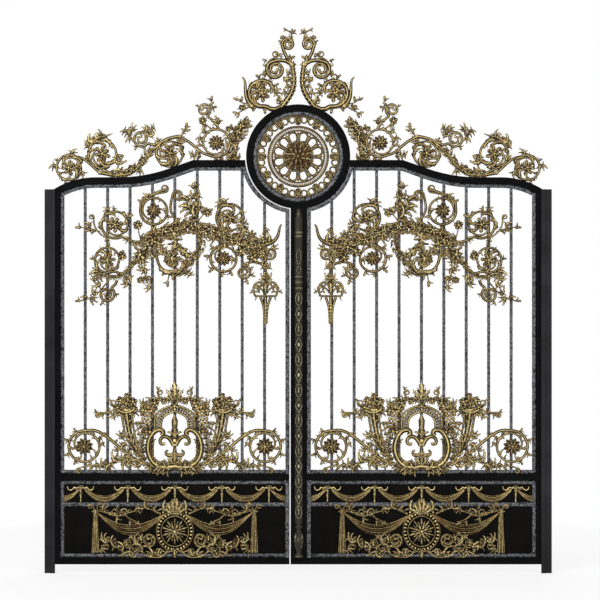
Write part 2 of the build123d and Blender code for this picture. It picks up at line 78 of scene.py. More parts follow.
# ------------------------------------------------------------------ places, from the frame
ring_low, ring_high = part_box("medallion_ring")
MIDDLE = (ring_low.x + ring_high.x) / 2
RING_LEVEL = (ring_low.z + ring_high.z) / 2
RING_SECTION = 0.075  # the ring's box section and its hammered rim
RIM_INNER = (ring_high.x - ring_low.x) / 2 - RING_SECTION
POST_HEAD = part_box("left_post")[1].z
bars_low, bars_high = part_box("right_bars")
GRILLE_BOTTOM = bars_low.z
MIDDLE_BAR = (bars_low.x + bars_high.x) / 2 - MIDDLE
sheet_low, sheet_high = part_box("right_panel_sheets")
SHEET_FACE = sheet_low.y
PANEL_MIDDLE = (sheet_low.x + sheet_high.x) / 2 - MIDDLE
PANEL_FOOT = sheet_low.z
PANEL_END = sheet_high.x - MIDDLE
PANEL_START = sheet_low.x - MIDDLE
SWAG_TOP = sheet_high.z
mullion_low, mullion_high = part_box("mullion")
COLUMN_X = (mullion_low.x + mullion_high.x) / 2
COLUMN_FACE = mullion_low.y
BAR_FACE = bars_low.y
CREST_PLANE = 0.004  # depth of the middle of the crest and the crown
CAD_MARGIN = 0.0005  # room left between the ornament and the CAD box


def only(piece):
    """Select one object and nothing else."""
    bpy.ops.object.select_all(action="DESELECT")
    piece.select_set(True)
    bpy.context.view_layer.objects.active = piece


def apply_all(piece):
    """Apply every modifier of a piece."""
    only(piece)
    for modifier in list(piece.modifiers):
        bpy.ops.object.modifier_apply(modifier=modifier.name)


def add_object(name, data):
    """A new object in the scene."""
    piece = bpy.data.objects.new(name, data)
    bpy.context.scene.collection.objects.link(piece)
    return piece


def read_mesh(mesh):
    """Points and faces of a mesh."""
    return np.array([vertex.co for vertex in mesh.vertices]), [tuple(face.vertices) for face in mesh.polygons]


def mark(mesh, title, values):
    """A number on every point of a mesh, for its material."""
    layer = mesh.attributes.new(title, "FLOAT", "POINT")
    layer.data.foreach_set("value", np.asarray(values, np.float32))


# ------------------------------------------------------------------ modelled shapes
OFF_RIDGE = 1e-5  # further out than this, a point of a blade is on its edge
SAME_STATION = 1e-4


def pick(piece, test):
    """In edit mode, select the vertices that pass a test."""
    mesh = bmesh.from_edit_mesh(piece.data)
    mesh.select_mode = {"VERT"}
    for vertex in mesh.verts:
        vertex.select = test(vertex)
    mesh.select_flush_mode()
    mesh.select_flush(True)
    bmesh.update_edit_mesh(piece.data)


def taken(piece, relief=None):
    """A finished shape as arrays: points, faces and how much each point stands out. The object goes."""
    points, faces = read_mesh(piece.data)
    if relief is None:
        low, high = points[:, 2].min(), points[:, 2].max()
        relief = (points[:, 2] - low) / (high - low)
    bpy.data.objects.remove(piece)
    return points, faces, relief


def grow_blade(stations, crease, thickness, bend=0.0):
    """Blade grown from its foot along X. A station is place, half width, edge shift and lift."""
    (start, foot_width, _, _), (second, _, _, _) = stations[:2]
    bpy.ops.object.select_all(action="DESELECT")
    bpy.ops.mesh.primitive_grid_add(x_subdivisions=1, y_subdivisions=2, size=1)
    blade = bpy.context.object
    blade.location = ((start + second) / 2, 0, 0)
    blade.scale = (second - start, 2 * foot_width, 1)
    bpy.ops.object.transform_apply(location=True, rotation=False, scale=True)
    bpy.ops.object.mode_set(mode="EDIT")
    pick(blade, lambda vertex: vertex.co.x > (start + second) / 2)
    width, place, level = foot_width, second, 0.0
    for number, (along, half_width, _, lift) in enumerate(stations[1:]):
        step = (along - place, 0, lift - level)
        if number:
            bpy.ops.mesh.extrude_region_move(TRANSFORM_OT_translate={"value": step})
        else:
            bpy.ops.transform.translate(value=step)
        bpy.ops.transform.resize(value=(1, half_width / width, 1), center_override=(along, 0, lift))
        width, place, level = half_width, along, lift
    pick(blade, lambda vertex: abs(vertex.co.y) > OFF_RIDGE)
    bpy.ops.transform.translate(value=(0, 0, -crease))
    straight = [vertex.co.x for vertex in bmesh.from_edit_mesh(blade.data).verts]
    ridge = [abs(vertex.co.y) < OFF_RIDGE for vertex in bmesh.from_edit_mesh(blade.data).verts]
    for along, _, shift, _ in stations:
        if shift:
            pick(blade, lambda vertex: abs(vertex.co.y) > OFF_RIDGE
                 and abs(vertex.co.x - along) < SAME_STATION)
            bpy.ops.transform.translate(value=(shift, 0, 0))
    # curl it to its left, from the tip back to the foot
    for along, _, _, lift in reversed(stations[1:-1]) if bend else ():
        pick(blade, lambda vertex: straight[vertex.index] > along + SAME_STATION)
        bpy.ops.transform.rotate(value=radians(bend), orient_axis="Z", center_override=(along, 0, lift))
    bpy.ops.object.mode_set(mode="OBJECT")
    wall = blade.modifiers.new("wall", "SOLIDIFY")
    wall.thickness = thickness
    wall.offset = -1
    apply_all(blade)
    # the ridge catches the light, more towards the tip; edges and back stay dark
    front = [(0.65 + 0.35 * along) if middle else 0.12 * along for along, middle in zip(straight, ridge)]
    return taken(blade, np.array(front + [0.15] * len(front)))


def turn_berry(rings, segments, flat):
    """Half-sunk ball, flat at the back."""
    bpy.ops.object.select_all(action="DESELECT")
    bpy.ops.mesh.primitive_uv_sphere_add(segments=segments, ring_count=rings, radius=1)
    berry = bpy.context.object
    berry.scale = (1, 1, flat)
    bpy.ops.object.transform_apply(location=False, rotation=False, scale=True)
    bpy.ops.object.mode_set(mode="EDIT")
    bpy.ops.mesh.select_all(action="SELECT")
    bpy.ops.mesh.bisect(plane_co=(0, 0, -0.3 * flat), plane_no=(0, 0, 1), use_fill=True, clear_inner=True)
    bpy.ops.object.mode_set(mode="OBJECT")
    return taken(berry)


SHAPES = {
    # deep-lobed leaf with a raised midrib and a tip that rolls over
    "acanthus": grow_blade(
        [
            (0.0, 0.06, 0, 0.0), (0.14, 0.12, 0, 0.10), (0.26, 0.30, 0.06, 0.17), (0.36, 0.15, 0, 0.2),
            (0.52, 0.33, 0.07, 0.21), (0.62, 0.15, 0, 0.2), (0.76, 0.24, 0.06, 0.16), (0.86, 0.1, 0, 0.12),
            (1.0, 0.02, 0, 0.16),
        ],
        0.09, 0.06,
    ),
    # narrow lobed leaf that curls over to one side
    "flame": grow_blade(
        [
            (0.0, 0.055, 0, 0.0), (0.16, 0.11, 0, 0.10), (0.32, 0.19, 0.04, 0.17), (0.44, 0.12, 0, 0.19),
            (0.6, 0.17, 0.04, 0.2), (0.72, 0.10, 0, 0.18), (0.86, 0.11, 0.03, 0.14), (1.0, 0.02, 0, 0.18),
        ],
        0.08, 0.07, bend=-17.0,
    ),
    # small three-lobed leaf
    "husk": grow_blade(
        [
            (0.0, 0.07, 0, 0.0), (0.3, 0.29, 0.08, 0.16), (0.5, 0.17, 0, 0.2),
            (0.7, 0.22, 0.08, 0.2), (1.0, 0.03, 0, 0.1),
        ],
        0.1, 0.09,
    ),
    # cupped petal
    "petal": grow_blade(
        [
            (0.0, 0.07, 0, 0.0), (0.35, 0.2, 0, 0.12), (0.7, 0.27, 0, 0.2), (0.92, 0.17, 0, 0.26),
            (1.0, 0.05, 0, 0.24),
        ],
        -0.07, 0.08,
    ),
    # narrow ray or flute
    "ray": grow_blade(
        [(0.0, 0.04, 0, 0.0), (0.4, 0.1, 0, 0.14), (0.8, 0.13, 0, 0.16), (1.0, 0.04, 0, 0.08)],
        0.08, 0.08,
    ),
    "berry": turn_berry(5, 8, 0.8),
    "bead": turn_berry(4, 6, 0.7),
}

# section of a bar, across and up for a half width of 1, with how bright each corner is
PROFILES = {
    "moulded": (
        (-1.0, 0.0, 0.0), (-1.0, 0.5, 0.1), (-0.72, 0.66, 0.75), (-0.52, 0.4, 0.0),
        (-0.3, 0.85, 0.7), (0.0, 1.0, 1.0), (0.3, 0.85, 0.7), (0.52, 0.4, 0.0),
        (0.72, 0.66, 0.75), (1.0, 0.5, 0.1), (1.0, 0.0, 0.0),
    ),
    "round": (
        (-1.0, 0.0, 0.0), (-0.8, 0.8, 0.3), (0.0, 1.25, 1.0), (0.8, 0.8, 0.3), (1.0, 0.0, 0.0),
    ),
    "two_faced": (
        (-1.0, -0.35, 0.0), (-0.85, 0.35, 0.35), (-0.5, 0.3, 0.0), (-0.25, 0.75, 0.8), (0.0, 0.85, 1.0),
        (0.25, 0.75, 0.8), (0.5, 0.3, 0.0), (0.85, 0.35, 0.35), (1.0, -0.35, 0.0), (0.5, -0.9, 0.8),
        (0.0, -1.1, 0.9), (-0.5, -0.9, 0.8),
    ),
}


def profile_curve(name):
    """Closed section curve that a bar is drawn through."""
    corners = PROFILES[name]
    curve = bpy.data.curves.new("section_" + name, "CURVE")
    curve.dimensions = "2D"
    line = curve.splines.new("POLY")
    line.points.add(len(corners) - 1)
    for point, (across, up, _) in zip(line.points, corners):
        point.co = (across, up, 0, 1)
    line.use_cyclic_u = True
    return add_object("section_" + name, curve)


def draw_bars(profile, strokes):
    """Bars along their lines, all with one section, as arrays. A stroke is points, radii and closed."""
    section = profile_curve(profile)
    curve = bpy.data.curves.new("bars", "CURVE")
    curve.dimensions = "3D"
    curve.twist_mode = "Z_UP"
    curve.bevel_mode = "OBJECT"
    curve.bevel_object = section
    curve.use_fill_caps = True
    for places, radii, closed in strokes:
        line = curve.splines.new("NURBS")
        line.points.add(len(places) - 1)
        for point, place, radius in zip(line.points, places, radii):
            point.co = (*place, 1)
            point.radius = radius
        line.order_u = 3
        line.use_cyclic_u = closed
        line.use_endpoint_u = not closed
        line.resolution_u = 3 if len(places) < 12 else 2
    bars = add_object("bars", curve)
    only(bars)
    bpy.ops.object.convert(target="MESH")
    bars = bpy.context.object
    points, faces = read_mesh(bars.data)
    corners = [corner[2] for corner in PROFILES[profile]]
    bright = np.tile(corners, len(points) // len(corners))
    bpy.data.objects.remove(bars)
    bpy.data.objects.remove(section)
    return points, faces, bright


class Work:
    """One ornament while it is made, face up on the bench: x outwards, y up, z to the front."""

    def __init__(self, seed, profile="moulded"):
        self.chance = random.Random(seed)
        self.profile = profile
        self.strokes = {}
        self.points = []
        self.faces = []
        self.relief = []
        self.tone = []
        self.count = 0

    def take(self, points, faces, relief, tone):
        """Add finished arrays."""
        self.points.append(points)
        self.faces.extend([tuple(index + self.count for index in face) for face in faces])
        self.relief.append(relief)
        self.tone.append(np.full(len(points), tone) if np.isscalar(tone) else tone)
        self.count += len(points)

    def copy(self, shape, at, turn, size, tone, tilt=0.0):
        """A copy of a modelled shape. at is its foot, turn its direction in degrees."""
        points, faces, relief = SHAPES[shape]
        if np.isscalar(size):
            size = (size, size, size)
        matrix = (
            Matrix.Rotation(radians(turn), 3, "Z")
            @ Matrix.Rotation(-radians(tilt), 3, "Y")
            @ Matrix.Diagonal(size)
        )
        if size[1] < 0:
            faces = [tuple(reversed(face)) for face in faces]
        if self.profile == "two_faced" and shape not in ("berry", "bead"):
            # seen from behind as well, so the back is gilt too
            relief = np.concatenate((relief[: len(relief) // 2], np.full(len(relief) // 2, 0.62)))
        self.take(points @ np.array(matrix).T + np.array(at), faces, relief, tone)

    def bar(self, places, half_width, tone, profile=None, taper=(1.0, 1.0), lift=(0.0, 0.0), closed=False):
        """A bar along control points. It tapers and rises from its start to its end."""
        last = len(places) - 1
        line = []
        radii = []
        for number, place in enumerate(places):
            share = number / last
            up = lift[0] + (lift[1] - lift[0]) * share
            line.append((place[0], place[1], up + (place[2] if len(place) > 2 else 0)))
            radii.append(half_width * (taper[0] + (taper[1] - taper[0]) * share))
        self.strokes.setdefault((profile or self.profile, tone), []).append((line, radii, closed))

    def arrays(self):
        """All that was made so far, bars included."""
        for (profile, tone), strokes in self.strokes.items():
            points, faces, bright = draw_bars(profile, strokes)
            self.take(points, faces, bright, tone)
        self.strokes = {}
        return (
            np.concatenate(self.points), list(self.faces),
            np.concatenate(self.relief), np.concatenate(self.tone),
        )

    def add_mirrored(self, other):
        """Another work and its mirror image."""
        points, faces, relief, tone = other.arrays()
        self.take(points, faces, relief, tone)
        self.take(*mirrored(points, faces), relief, tone)


def mirrored(points, faces):
    """Points and faces turned over left to right, facing outwards again."""
    return points * (-1, 1, 1), [tuple(reversed(face)) for face in faces]


def make_piece(name, arrays, body, node, material):
    """A finished gilt mesh that rides on a body and stands for a CAD node."""
    points, faces, relief, tone = arrays
    mesh = bpy.data.meshes.new(name)
    mesh.from_pydata([tuple(point) for point in points], [], faces)
    mesh.update()
    mark(mesh, "relief", relief)
    mark(mesh, "tone", tone)
    mesh.materials.append(material)
    piece = add_object(name, mesh)
    only(piece)
    bpy.ops.object.shade_smooth_by_angle(angle=radians(50))
    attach(piece, body)
    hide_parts(node)


def stand_up(arrays, origin, face, hand):
    """Ornament off the bench: origin is (outwards, height), face its depth, hand +1 right and -1 left."""
    points, faces, relief, tone = arrays
    room = face - cad_box[0][1] - CAD_MARGIN
    points = points * (1, 1, min(1.0, room / points[:, 2].max()))
    if hand < 0:
        points, faces = mirrored(points, faces)
    x = MIDDLE + hand * origin[0] + points[:, 0]
    stood = np.column_stack((x, face - points[:, 2], origin[1] + points[:, 1]))
    return stood, faces, relief, tone


# ------------------------------------------------------------------ ornament parts
BROAD_LEAF = 0.055  # a straight leaf longer than this has all its lobes
SMALL_TUFT = 0.05
LONG_TUFT = 0.075
THIN_SCROLL = 0.0068  # half width up to which a scroll's bar is plain round
THIN_STEM = 0.013  # width up to which a stem is plain round
CURVE_STEPS = 24


def aim(start, end):
    """Direction in degrees from one place to another."""
    return atan2(end[1] - start[1], end[0] - start[0]) * 180 / pi


def out_from(place, turn, reach):
    """Place at a distance in a direction."""
    return (place[0] + reach * cos(radians(turn)), place[1] + reach * sin(radians(turn)))


def oval(centre, across, upwards, count):
    """Places evenly round an oval."""
    turns = [2 * pi * number / count for number in range(count)]
    return [(centre[0] + across * cos(turn), centre[1] + upwards * sin(turn)) for turn in turns]


def leaf(work, foot, turn, length, side=0, tone=0.55, lift=0.005):
    """Leaf that curls over to a side, or lies straight for side 0."""
    tone += work.chance.uniform(-0.15, 0.2)
    if side:
        size = (length, side * length * work.chance.uniform(1.2, 1.5), length * 0.6)
        work.copy("flame", (*foot, lift), turn - side * 34, size, tone)
    else:
        size = (length, length * work.chance.uniform(0.95, 1.2), length * 0.6)
        work.copy("acanthus" if length > BROAD_LEAF else "husk", (*foot, lift), turn, size, tone)


def tuft(work, foot, turn, length, lift=0.005):
    """Fan of leaves: a long one in the middle, curled ones at its sides."""
    side = work.chance.choice((-1, 1))
    if length < SMALL_TUFT:
        work.copy("husk", (*foot, lift), turn, (length * 1.15, length * 1.1, length * 0.6), 0.5)
        leaf(work, foot, turn + side * 40, length * 0.9, side, 0.3, lift)
        return
    if length > LONG_TUFT:
        # long one: pairs along its middle
        for share in (0.0, 0.26, 0.52):
            for hand in (-1, 1):
                at = out_from(foot, turn, share * length)
                fan = turn + hand * (52 - 30 * share)
                leaf(work, at, fan, length * (0.58 - 0.2 * share), hand, 0.35, lift)
        leaf(work, out_from(foot, turn, length * 0.45), turn, length * 0.62, side, 0.65, lift + 0.004)
        leaf(work, foot, turn - side * 8, length * 0.6, -side, 0.6, lift + 0.005)
        return
    leaf(work, foot, turn + 32, length * 0.85, 1, 0.4, lift)
    leaf(work, foot, turn - 32, length * 0.85, -1, 0.4, lift)
    leaf(work, foot, turn + side * 80, length * 0.55, side, 0.35, lift)
    leaf(work, foot, turn, length * 1.1, side, 0.65, lift + 0.004)
    work.copy("bead", (*foot, lift), 0, min(0.009, length * 0.14), 0.8)


def hook(work, foot, turn, length, hand, half_width=0.004):
    """Small tendril that curls over at its end."""
    places = [foot]
    for bend, reach in ((0, 0.45), (25, 0.4), (80, 0.3), (150, 0.22)):
        places.append(out_from(places[-1], turn + hand * bend, reach * length))
    work.bar(places, half_width, 0.6, "round", (1.0, 0.7), (0.004, 0.01))
    work.copy("bead", (*places[-1], 0.01), 0, half_width * 1.7, 0.7)


def bloom(work, at, radius, tone=0.45, lift=0.008):
    """Small open flower with five petals."""
    start = work.chance.uniform(0, 72)
    for number in range(5):
        turn = start + number * 72
        size = (radius, radius * 1.45, radius * 0.8)
        work.copy("petal", (*at, lift), turn, size, tone + 0.15 * (number % 2), 8)
    work.copy("bead", (*at, lift + radius * 0.2), start, radius * 0.3, tone + 0.35)


def flower(work, at, radius, tone=0.25, lift=0.008):
    """Full leafy flower: broad leaves, curled ones between them and a cup round a berry."""
    chance = work.chance
    start = chance.uniform(0, 50)
    side = chance.choice((-1, 1))
    for number in range(7):
        size = (radius * chance.uniform(0.9, 1.15), radius * 1.15, radius * 0.5)
        work.copy("husk", (*at, lift), start + number * 51.4, size, tone + 0.2 * (number % 2), 4)
    for number in range(5):
        leaf(work, at, start + 25 + number * 72, radius * 0.85, side, tone + 0.25, lift + radius * 0.1)
    for number in range(5):
        size = (radius * 0.5, radius * 0.6, radius * 0.5)
        work.copy("husk", (*at, lift + radius * 0.2), start + 20 + number * 72, size, tone + 0.4, 10)
    work.copy("berry", (*at, lift + radius * 0.3), start, radius * 0.17, tone + 0.5)


def petal_ring(work, at, ring, count, size, tone):
    """Ring of small leaves round a place; every second ring is turned by half a step."""
    for number in range(count):
        work.copy("husk", at, (number + 0.5 * (ring % 2)) * 360 / count, size, tone, 6)


def rosette(work, at, radius):
    """Full round rosette of pointed petals in rings that rise to a berry."""
    for ring, (count, share, rise) in enumerate(((11, 1.0, 0.0), (9, 0.78, 0.16), (7, 0.52, 0.34))):
        length = radius * share
        size = (length, length * min(1.3, 10.0 / count), length * 0.5)
        petal_ring(work, (*at, 0.008 + radius * rise), ring, count, size, 0.1 + 0.16 * ring)
    work.copy("berry", (*at, 0.008 + radius * 0.5), 0, radius * 0.17, 0.6)


# how a scroll winds for each thing that grows in its eye: turns, how far in it ends, how late it turns in
WINDINGS = {
    "rosette": (1.35, 0.5, 4.5), "flower": (1.4, 0.42, 4.0), "curl": (1.65, 0.22, 1.7),
    "knob": (1.3, 0.42, 1.5), "open": (0.76, 0.96, 1.0),
}


def volute(work, centre, radius, start, hand, eye, root=(), tufts=(), bar=None):
    """Scroll that winds in from its outer end, the leaves that line it and what grows in its eye."""
    half_width = bar or (0.0052 + 0.056 * radius) * (1.25 if eye == "curl" else 1.0)
    outer = radius - half_width
    turns, tight, late = WINDINGS[eye]
    steps = round(turns * 15)
    places = list(root)
    for step in range(steps + 1):
        share = step / steps
        reach = outer * (1 - (1 - tight) * share**late)
        places.append(out_from(centre, start + hand * turns * 360 * share, reach))
    profile = None if half_width > THIN_SCROLL else "round"
    work.bar(places, half_width, 0.55, profile, (1.0, 0.62), (0.0, 0.008))
    for turn, length in tufts:
        tuft(work, out_from(centre, turn, outer), turn, length)
    if eye == "knob":
        work.copy("berry", (*places[-1], 0.006), 0, max(0.008, radius * 0.3), 0.5)
        return
    if eye == "curl":
        work.copy("berry", (*places[-1], 0.008), 0, radius * 0.17, 0.6)
        for number in range(5):
            turn = start + hand * (70 + number * 62)
            foot = out_from(centre, turn, outer * (0.92 - 0.08 * number))
            leaf(work, foot, turn + 180 - hand * 50, radius * 0.62, hand)
        return
    if eye == "rosette":
        rosette(work, centre, radius * 0.52)
    else:
        flower(work, centre, radius * 0.54)
    # curled leaves that line the ring, and some on its outside
    count = 9
    spread = 235 if eye == "open" else 345
    reach = radius * (0.45 if eye == "rosette" else 0.66)
    for number in range(count):
        turn = start + hand * (15 + (number + work.chance.uniform(-0.35, 0.35)) * spread / count)
        foot = out_from(centre, turn, outer - half_width * 0.3)
        fan = turn + 180 - hand * work.chance.uniform(30, 80)
        leaf(work, foot, fan, reach * work.chance.uniform(0.6, 1.3), hand, 0.5, 0.006)
        if number % 3 == 1:
            leaf(work, out_from(centre, turn + 12, outer), turn + hand * 62, radius * 0.27, -hand)


def through(places, pitch):
    """Places at a steady pitch along a smooth line through the given ones, with their direction."""
    knots = [2 * Vector(places[0]) - Vector(places[1])] + [Vector(place) for place in places]
    knots.append(2 * knots[-1] - knots[-2])
    dense = []
    for a, b, c, d in zip(knots, knots[1:], knots[2:], knots[3:]):
        square, cube = 2 * a - 5 * b + 4 * c - d, 3 * b - a - 3 * c + d
        for step in range(CURVE_STEPS):
            t = step / CURVE_STEPS
            dense.append(0.5 * (2 * b + (c - a) * t + square * t**2 + cube * t**3))
    found = []
    gone = pitch
    for low, high in zip(dense, dense[1:]):
        gone += (high - low).length
        if gone >= pitch:
            gone -= pitch
            found.append(((low.x, low.y), aim(low, high)))
    return found


def garland(work, places, width):
    """Thick rope of small overlapping leaves, with blooms and berries."""
    chance = work.chance
    work.bar(places, width * 0.16, 0.1, "round", (1.0, 0.8), (0.0, 0.0))
    for end in (places[0], places[-1]):
        flower(work, end, width * 0.4, 0.2, 0.004)
    for number, (at, turn) in enumerate(through(places, 0.0165)):
        for side in (-1, 1):
            foot = out_from(at, turn + 90, side * chance.uniform(0.0, 0.16) * width)
            fan = turn + side * chance.uniform(40, 95)
            leaf(work, foot, fan, chance.uniform(0.55, 0.75) * width, -side, 0.35, 0.005)
        foot = out_from(at, turn + 90, chance.uniform(-0.24, 0.24) * width)
        if number % 3 == 1:
            bloom(work, foot, width * chance.uniform(0.24, 0.34), chance.uniform(0.3, 0.7), 0.014)
        else:
            leaf(work, foot, turn + chance.uniform(-60, 60), width * 0.55, chance.choice((-1, 1)), 0.6, 0.013)


def grapes(work, at, width, height, turn):
    """Cluster of berries that narrows to its tip."""
    size = width * 0.13
    rows = round(height / (size * 1.5))
    for row in range(rows):
        share = row / max(rows - 1, 1)
        count = max(1, round((1 - 0.65 * share) * 4.6))
        for number in range(count):
            across = (number - (count - 1) / 2) * size * 1.65
            place = out_from(out_from(at, turn, (share - 0.5) * height), turn + 90, across)
            rise = 0.012 - 0.02 * abs(across) / width
            turned, tone = work.chance.uniform(0, 90), work.chance.uniform(0.1, 0.6)
            work.copy("berry", (*place, rise), turned, size, tone)


def dress(work, scrolls, stems, tufts, flowers, garlands=()):
    """All the parts of one ornament from its lists of places."""
    for places, width in garlands:
        garland(work, places, width)
    for scroll in scrolls:
        volute(work, *scroll)
    for places, width, end in stems:
        work.bar(places, width / 2, 0.55, None if width > THIN_STEM else "round", (1.0, end))
        # knobs close the ends
        work.copy("bead", (*places[0], 0.0), 0, width * 0.62, 0.55)
        if end > 0.5:
            work.copy("bead", (*places[-1], 0.0), 0, width * 0.55, 0.55)
    for foot, turn, length in tufts:
        tuft(work, foot, turn, length)
    for at, radius, kind in flowers:
        if kind == "flower":
            flower(work, at, radius)
        else:
            bloom(work, at, radius)


# ------------------------------------------------------------------ places of the ornament
# Metres outwards and up. A scroll is its middle, radius, outer end in degrees, hand, what grows in
# it, the stem that leads to it, the tufts on its outside and, where set, its bar's half width. A
# stem is its line, width and the share left at its end; a tuft its foot, direction and length; a
# flower its middle, radius and kind; a garland its line and width.
SPRAY_SCROLLS = (
    ((0.424, -0.251), 0.11, 235, 1, "flower", ((0.165, -0.345), (0.235, -0.375), (0.30, -0.375)),
     ((62, 0.05), (85, 0.035), (150, 0.045), (-60, 0.04))),
    ((0.148, -0.153), 0.11, 20, -1, "rosette", ((0.065, 0.0), (0.18, -0.042), (0.24, -0.08)), ((63, 0.05),
     (90, 0.04), (35, 0.04), (200, 0.035))),
    ((-0.393, -0.201), 0.11, -35, 1, "flower", ((-0.40, -0.35), (-0.335, -0.30)), ((52, 0.055), (68, 0.06),
     (200, 0.04), (225, 0.05))),
    ((0.477, -0.502), 0.103, 235, 1, "flower", ((0.34, -0.57), (0.37, -0.612)), ((150, 0.04), (95, 0.035),
     (5, 0.035))),
    ((0.018, -0.488), 0.12, -10, -1, "open", ((0.08, -0.30), (0.115, -0.33), (0.14, -0.41)), ((222, 0.085),
     (268, 0.045), (300, 0.035), (170, 0.05))),
    ((-0.348, -0.491), 0.108, 95, -1, "rosette", ((-0.43, -0.38),), ((8, 0.045), (-43, 0.045), (243, 0.04),
     (45, 0.04), (-85, 0.035))),
    ((0.482, -0.745), 0.066, 120, 1, "curl", ((0.41, -0.645), (0.42, -0.68)), ((-60, 0.035), (180, 0.03))),
    ((-0.678, -0.455), 0.056, 60, -1, "curl", ((-0.60, -0.40), (-0.63, -0.42)), ((-10, 0.03),
     (-50, 0.045))),
    ((-0.49, -0.59), 0.06, 70, 1, "curl", ((-0.648, -0.545), (-0.60, -0.52), (-0.545, -0.51)), ((250, 0.04),
     (200, 0.035), (150, 0.03))),
    ((-0.02, -0.045), 0.046, 0, 1, "curl", ((-0.045, -0.255), (0.02, -0.19), (0.035, -0.125)), ()),
    ((0.072, 0.005), 0.034, 280, -1, "knob", ((0.205, -0.05), (0.15, -0.035)), ()),
    ((-0.585, -0.708), 0.034, 160, -1, "knob", ((-0.65, -0.68), (-0.63, -0.655), (-0.612, -0.68)),
     ((-30, 0.03),)),
    ((-0.715, -0.708), 0.034, 20, 1, "knob", ((-0.65, -0.68), (-0.67, -0.655), (-0.688, -0.68)),
     ((210, 0.03),)),
    ((0.592, -0.197), 0.024, 210, -1, "knob", ((0.47, -0.352), (0.53, -0.325), (0.575, -0.26)), ()),
)
SPRAY_STEMS = (
    (((-0.035, -0.26), (0.055, -0.285), (0.14, -0.33), (0.205, -0.405)), 0.022, 0.7),
    (((-0.6, -0.405), (-0.47, -0.37), (-0.325, -0.33), (-0.165, -0.27), (-0.035, -0.26)), 0.022, 0.7),
    (((0.165, -0.34), (0.205, -0.43), (0.285, -0.525), (0.37, -0.615), (0.455, -0.63),
     (0.54, -0.60)), 0.022, 0.7),
    (((0.535, -0.30), (0.62, -0.268), (0.67, -0.27)), 0.011, 0.7),
    (((-0.62, -0.40), (-0.685, -0.385), (-0.728, -0.345), (-0.742, -0.295), (-0.747, -0.262),
     (-0.76, -0.248)), 0.034, 0.3),
    (((-0.09, -0.53), (-0.04, -0.60), (0.03, -0.615), (0.05, -0.60)), 0.02, 0.5),
    (((-0.03, -0.61), (-0.07, -0.595), (-0.115, -0.58)), 0.022, 0.15),
    (((0.455, -0.625), (0.545, -0.745), (0.61, -0.775), (0.68, -0.795)), 0.012, 0.7),
    (((-0.165, -0.24), (-0.14, -0.145), (-0.15, -0.055), (-0.14, 0.01)), 0.013, 0.7),
    (((-0.17, -0.22), (-0.2, -0.175), (-0.23, -0.16)), 0.01, 0.7),
    (((-0.65, -0.47), (-0.65, -0.57), (-0.65, -0.69)), 0.018, 0.7),
    (((-0.6, -0.405), (-0.635, -0.45), (-0.65, -0.515)), 0.018, 0.7),
    (((0.04, -0.60), (0.05, -0.655)), 0.011, 0.7),
    (((0.34, -0.57), (0.335, -0.62), (0.345, -0.66)), 0.012, 0.7),
    (((0.20, -0.44), (0.225, -0.55), (0.20, -0.62), (0.185, -0.70)), 0.012, 0.7),
    (((0.148, -0.255), (0.13, -0.29), (0.11, -0.33)), 0.014, 0.7),
    (((0.24, -0.36), (0.262, -0.30), (0.262, -0.254)), 0.01, 0.7),
)
SPRAY_TUFTS = (
    ((-0.165, -0.2), 42, 0.15), ((-0.155, -0.14), 120, 0.07), ((-0.12, -0.14), 60, 0.12),
    ((-0.15, -0.06), 130, 0.055), ((-0.15, -0.06), 35, 0.06), ((-0.14, 0.0), 85, 0.06),
    ((-0.2, -0.175), 100, 0.05), ((-0.235, -0.16), 150, 0.04), ((0.66, -0.27), 0, 0.045),
    ((0.6, -0.268), 60, 0.05), ((0.6, -0.268), -50, 0.05), ((0.56, -0.3), 20, 0.045),
    ((0.0, -0.29), 272, 0.13), ((0.02, -0.30), 240, 0.07), ((-0.03, -0.29), 300, 0.07),
    ((-0.26, -0.33), 250, 0.055), ((0.2, -0.39), 300, 0.13), ((0.22, -0.44), 270, 0.10),
    ((0.19, -0.42), 235, 0.09), ((0.26, -0.49), 250, 0.06), ((0.12, -0.36), 250, 0.09),
    ((0.11, -0.42), 235, 0.07), ((0.3, -0.54), 110, 0.055), ((0.27, -0.50), 80, 0.05),
    ((0.225, -0.56), 240, 0.06), ((0.22, -0.55), 320, 0.055), ((0.2, -0.62), 225, 0.055),
    ((0.2, -0.62), 310, 0.05), ((0.187, -0.68), 270, 0.05), ((0.335, -0.61), 235, 0.055),
    ((0.345, -0.65), 275, 0.055), ((0.335, -0.62), 320, 0.05), ((0.53, -0.6), 15, 0.075),
    ((0.515, -0.61), -25, 0.09), ((0.53, -0.66), -45, 0.06), ((0.545, -0.585), 50, 0.05),
    ((0.555, -0.745), 40, 0.055), ((0.575, -0.76), -70, 0.06), ((0.62, -0.778), 30, 0.05),
    ((0.665, -0.79), -5, 0.04), ((0.05, -0.645), 270, 0.045), ((0.055, -0.47), 70, 0.06),
    ((-0.05, -0.47), 115, 0.06), ((0.02, -0.50), 250, 0.06), ((-0.655, -0.385), 110, 0.075),
    ((-0.69, -0.40), 220, 0.05), ((-0.62, -0.39), 95, 0.06), ((-0.56, -0.38), 70, 0.055),
    ((-0.65, -0.56), 40, 0.05), ((-0.65, -0.56), 140, 0.05), ((-0.65, -0.63), 25, 0.05),
    ((-0.65, -0.63), 155, 0.05), ((-0.5, -0.52), 230, 0.05), ((-0.43, -0.5), 0, 0.05),
    ((-0.47, -0.25), 250, 0.07), ((-0.5, -0.30), 60, 0.05), ((-0.35, -0.38), 270, 0.05),
    ((0.13, -0.31), 60, 0.045), ((0.33, -0.37), 60, 0.05), ((0.28, -0.37), 265, 0.055),
)
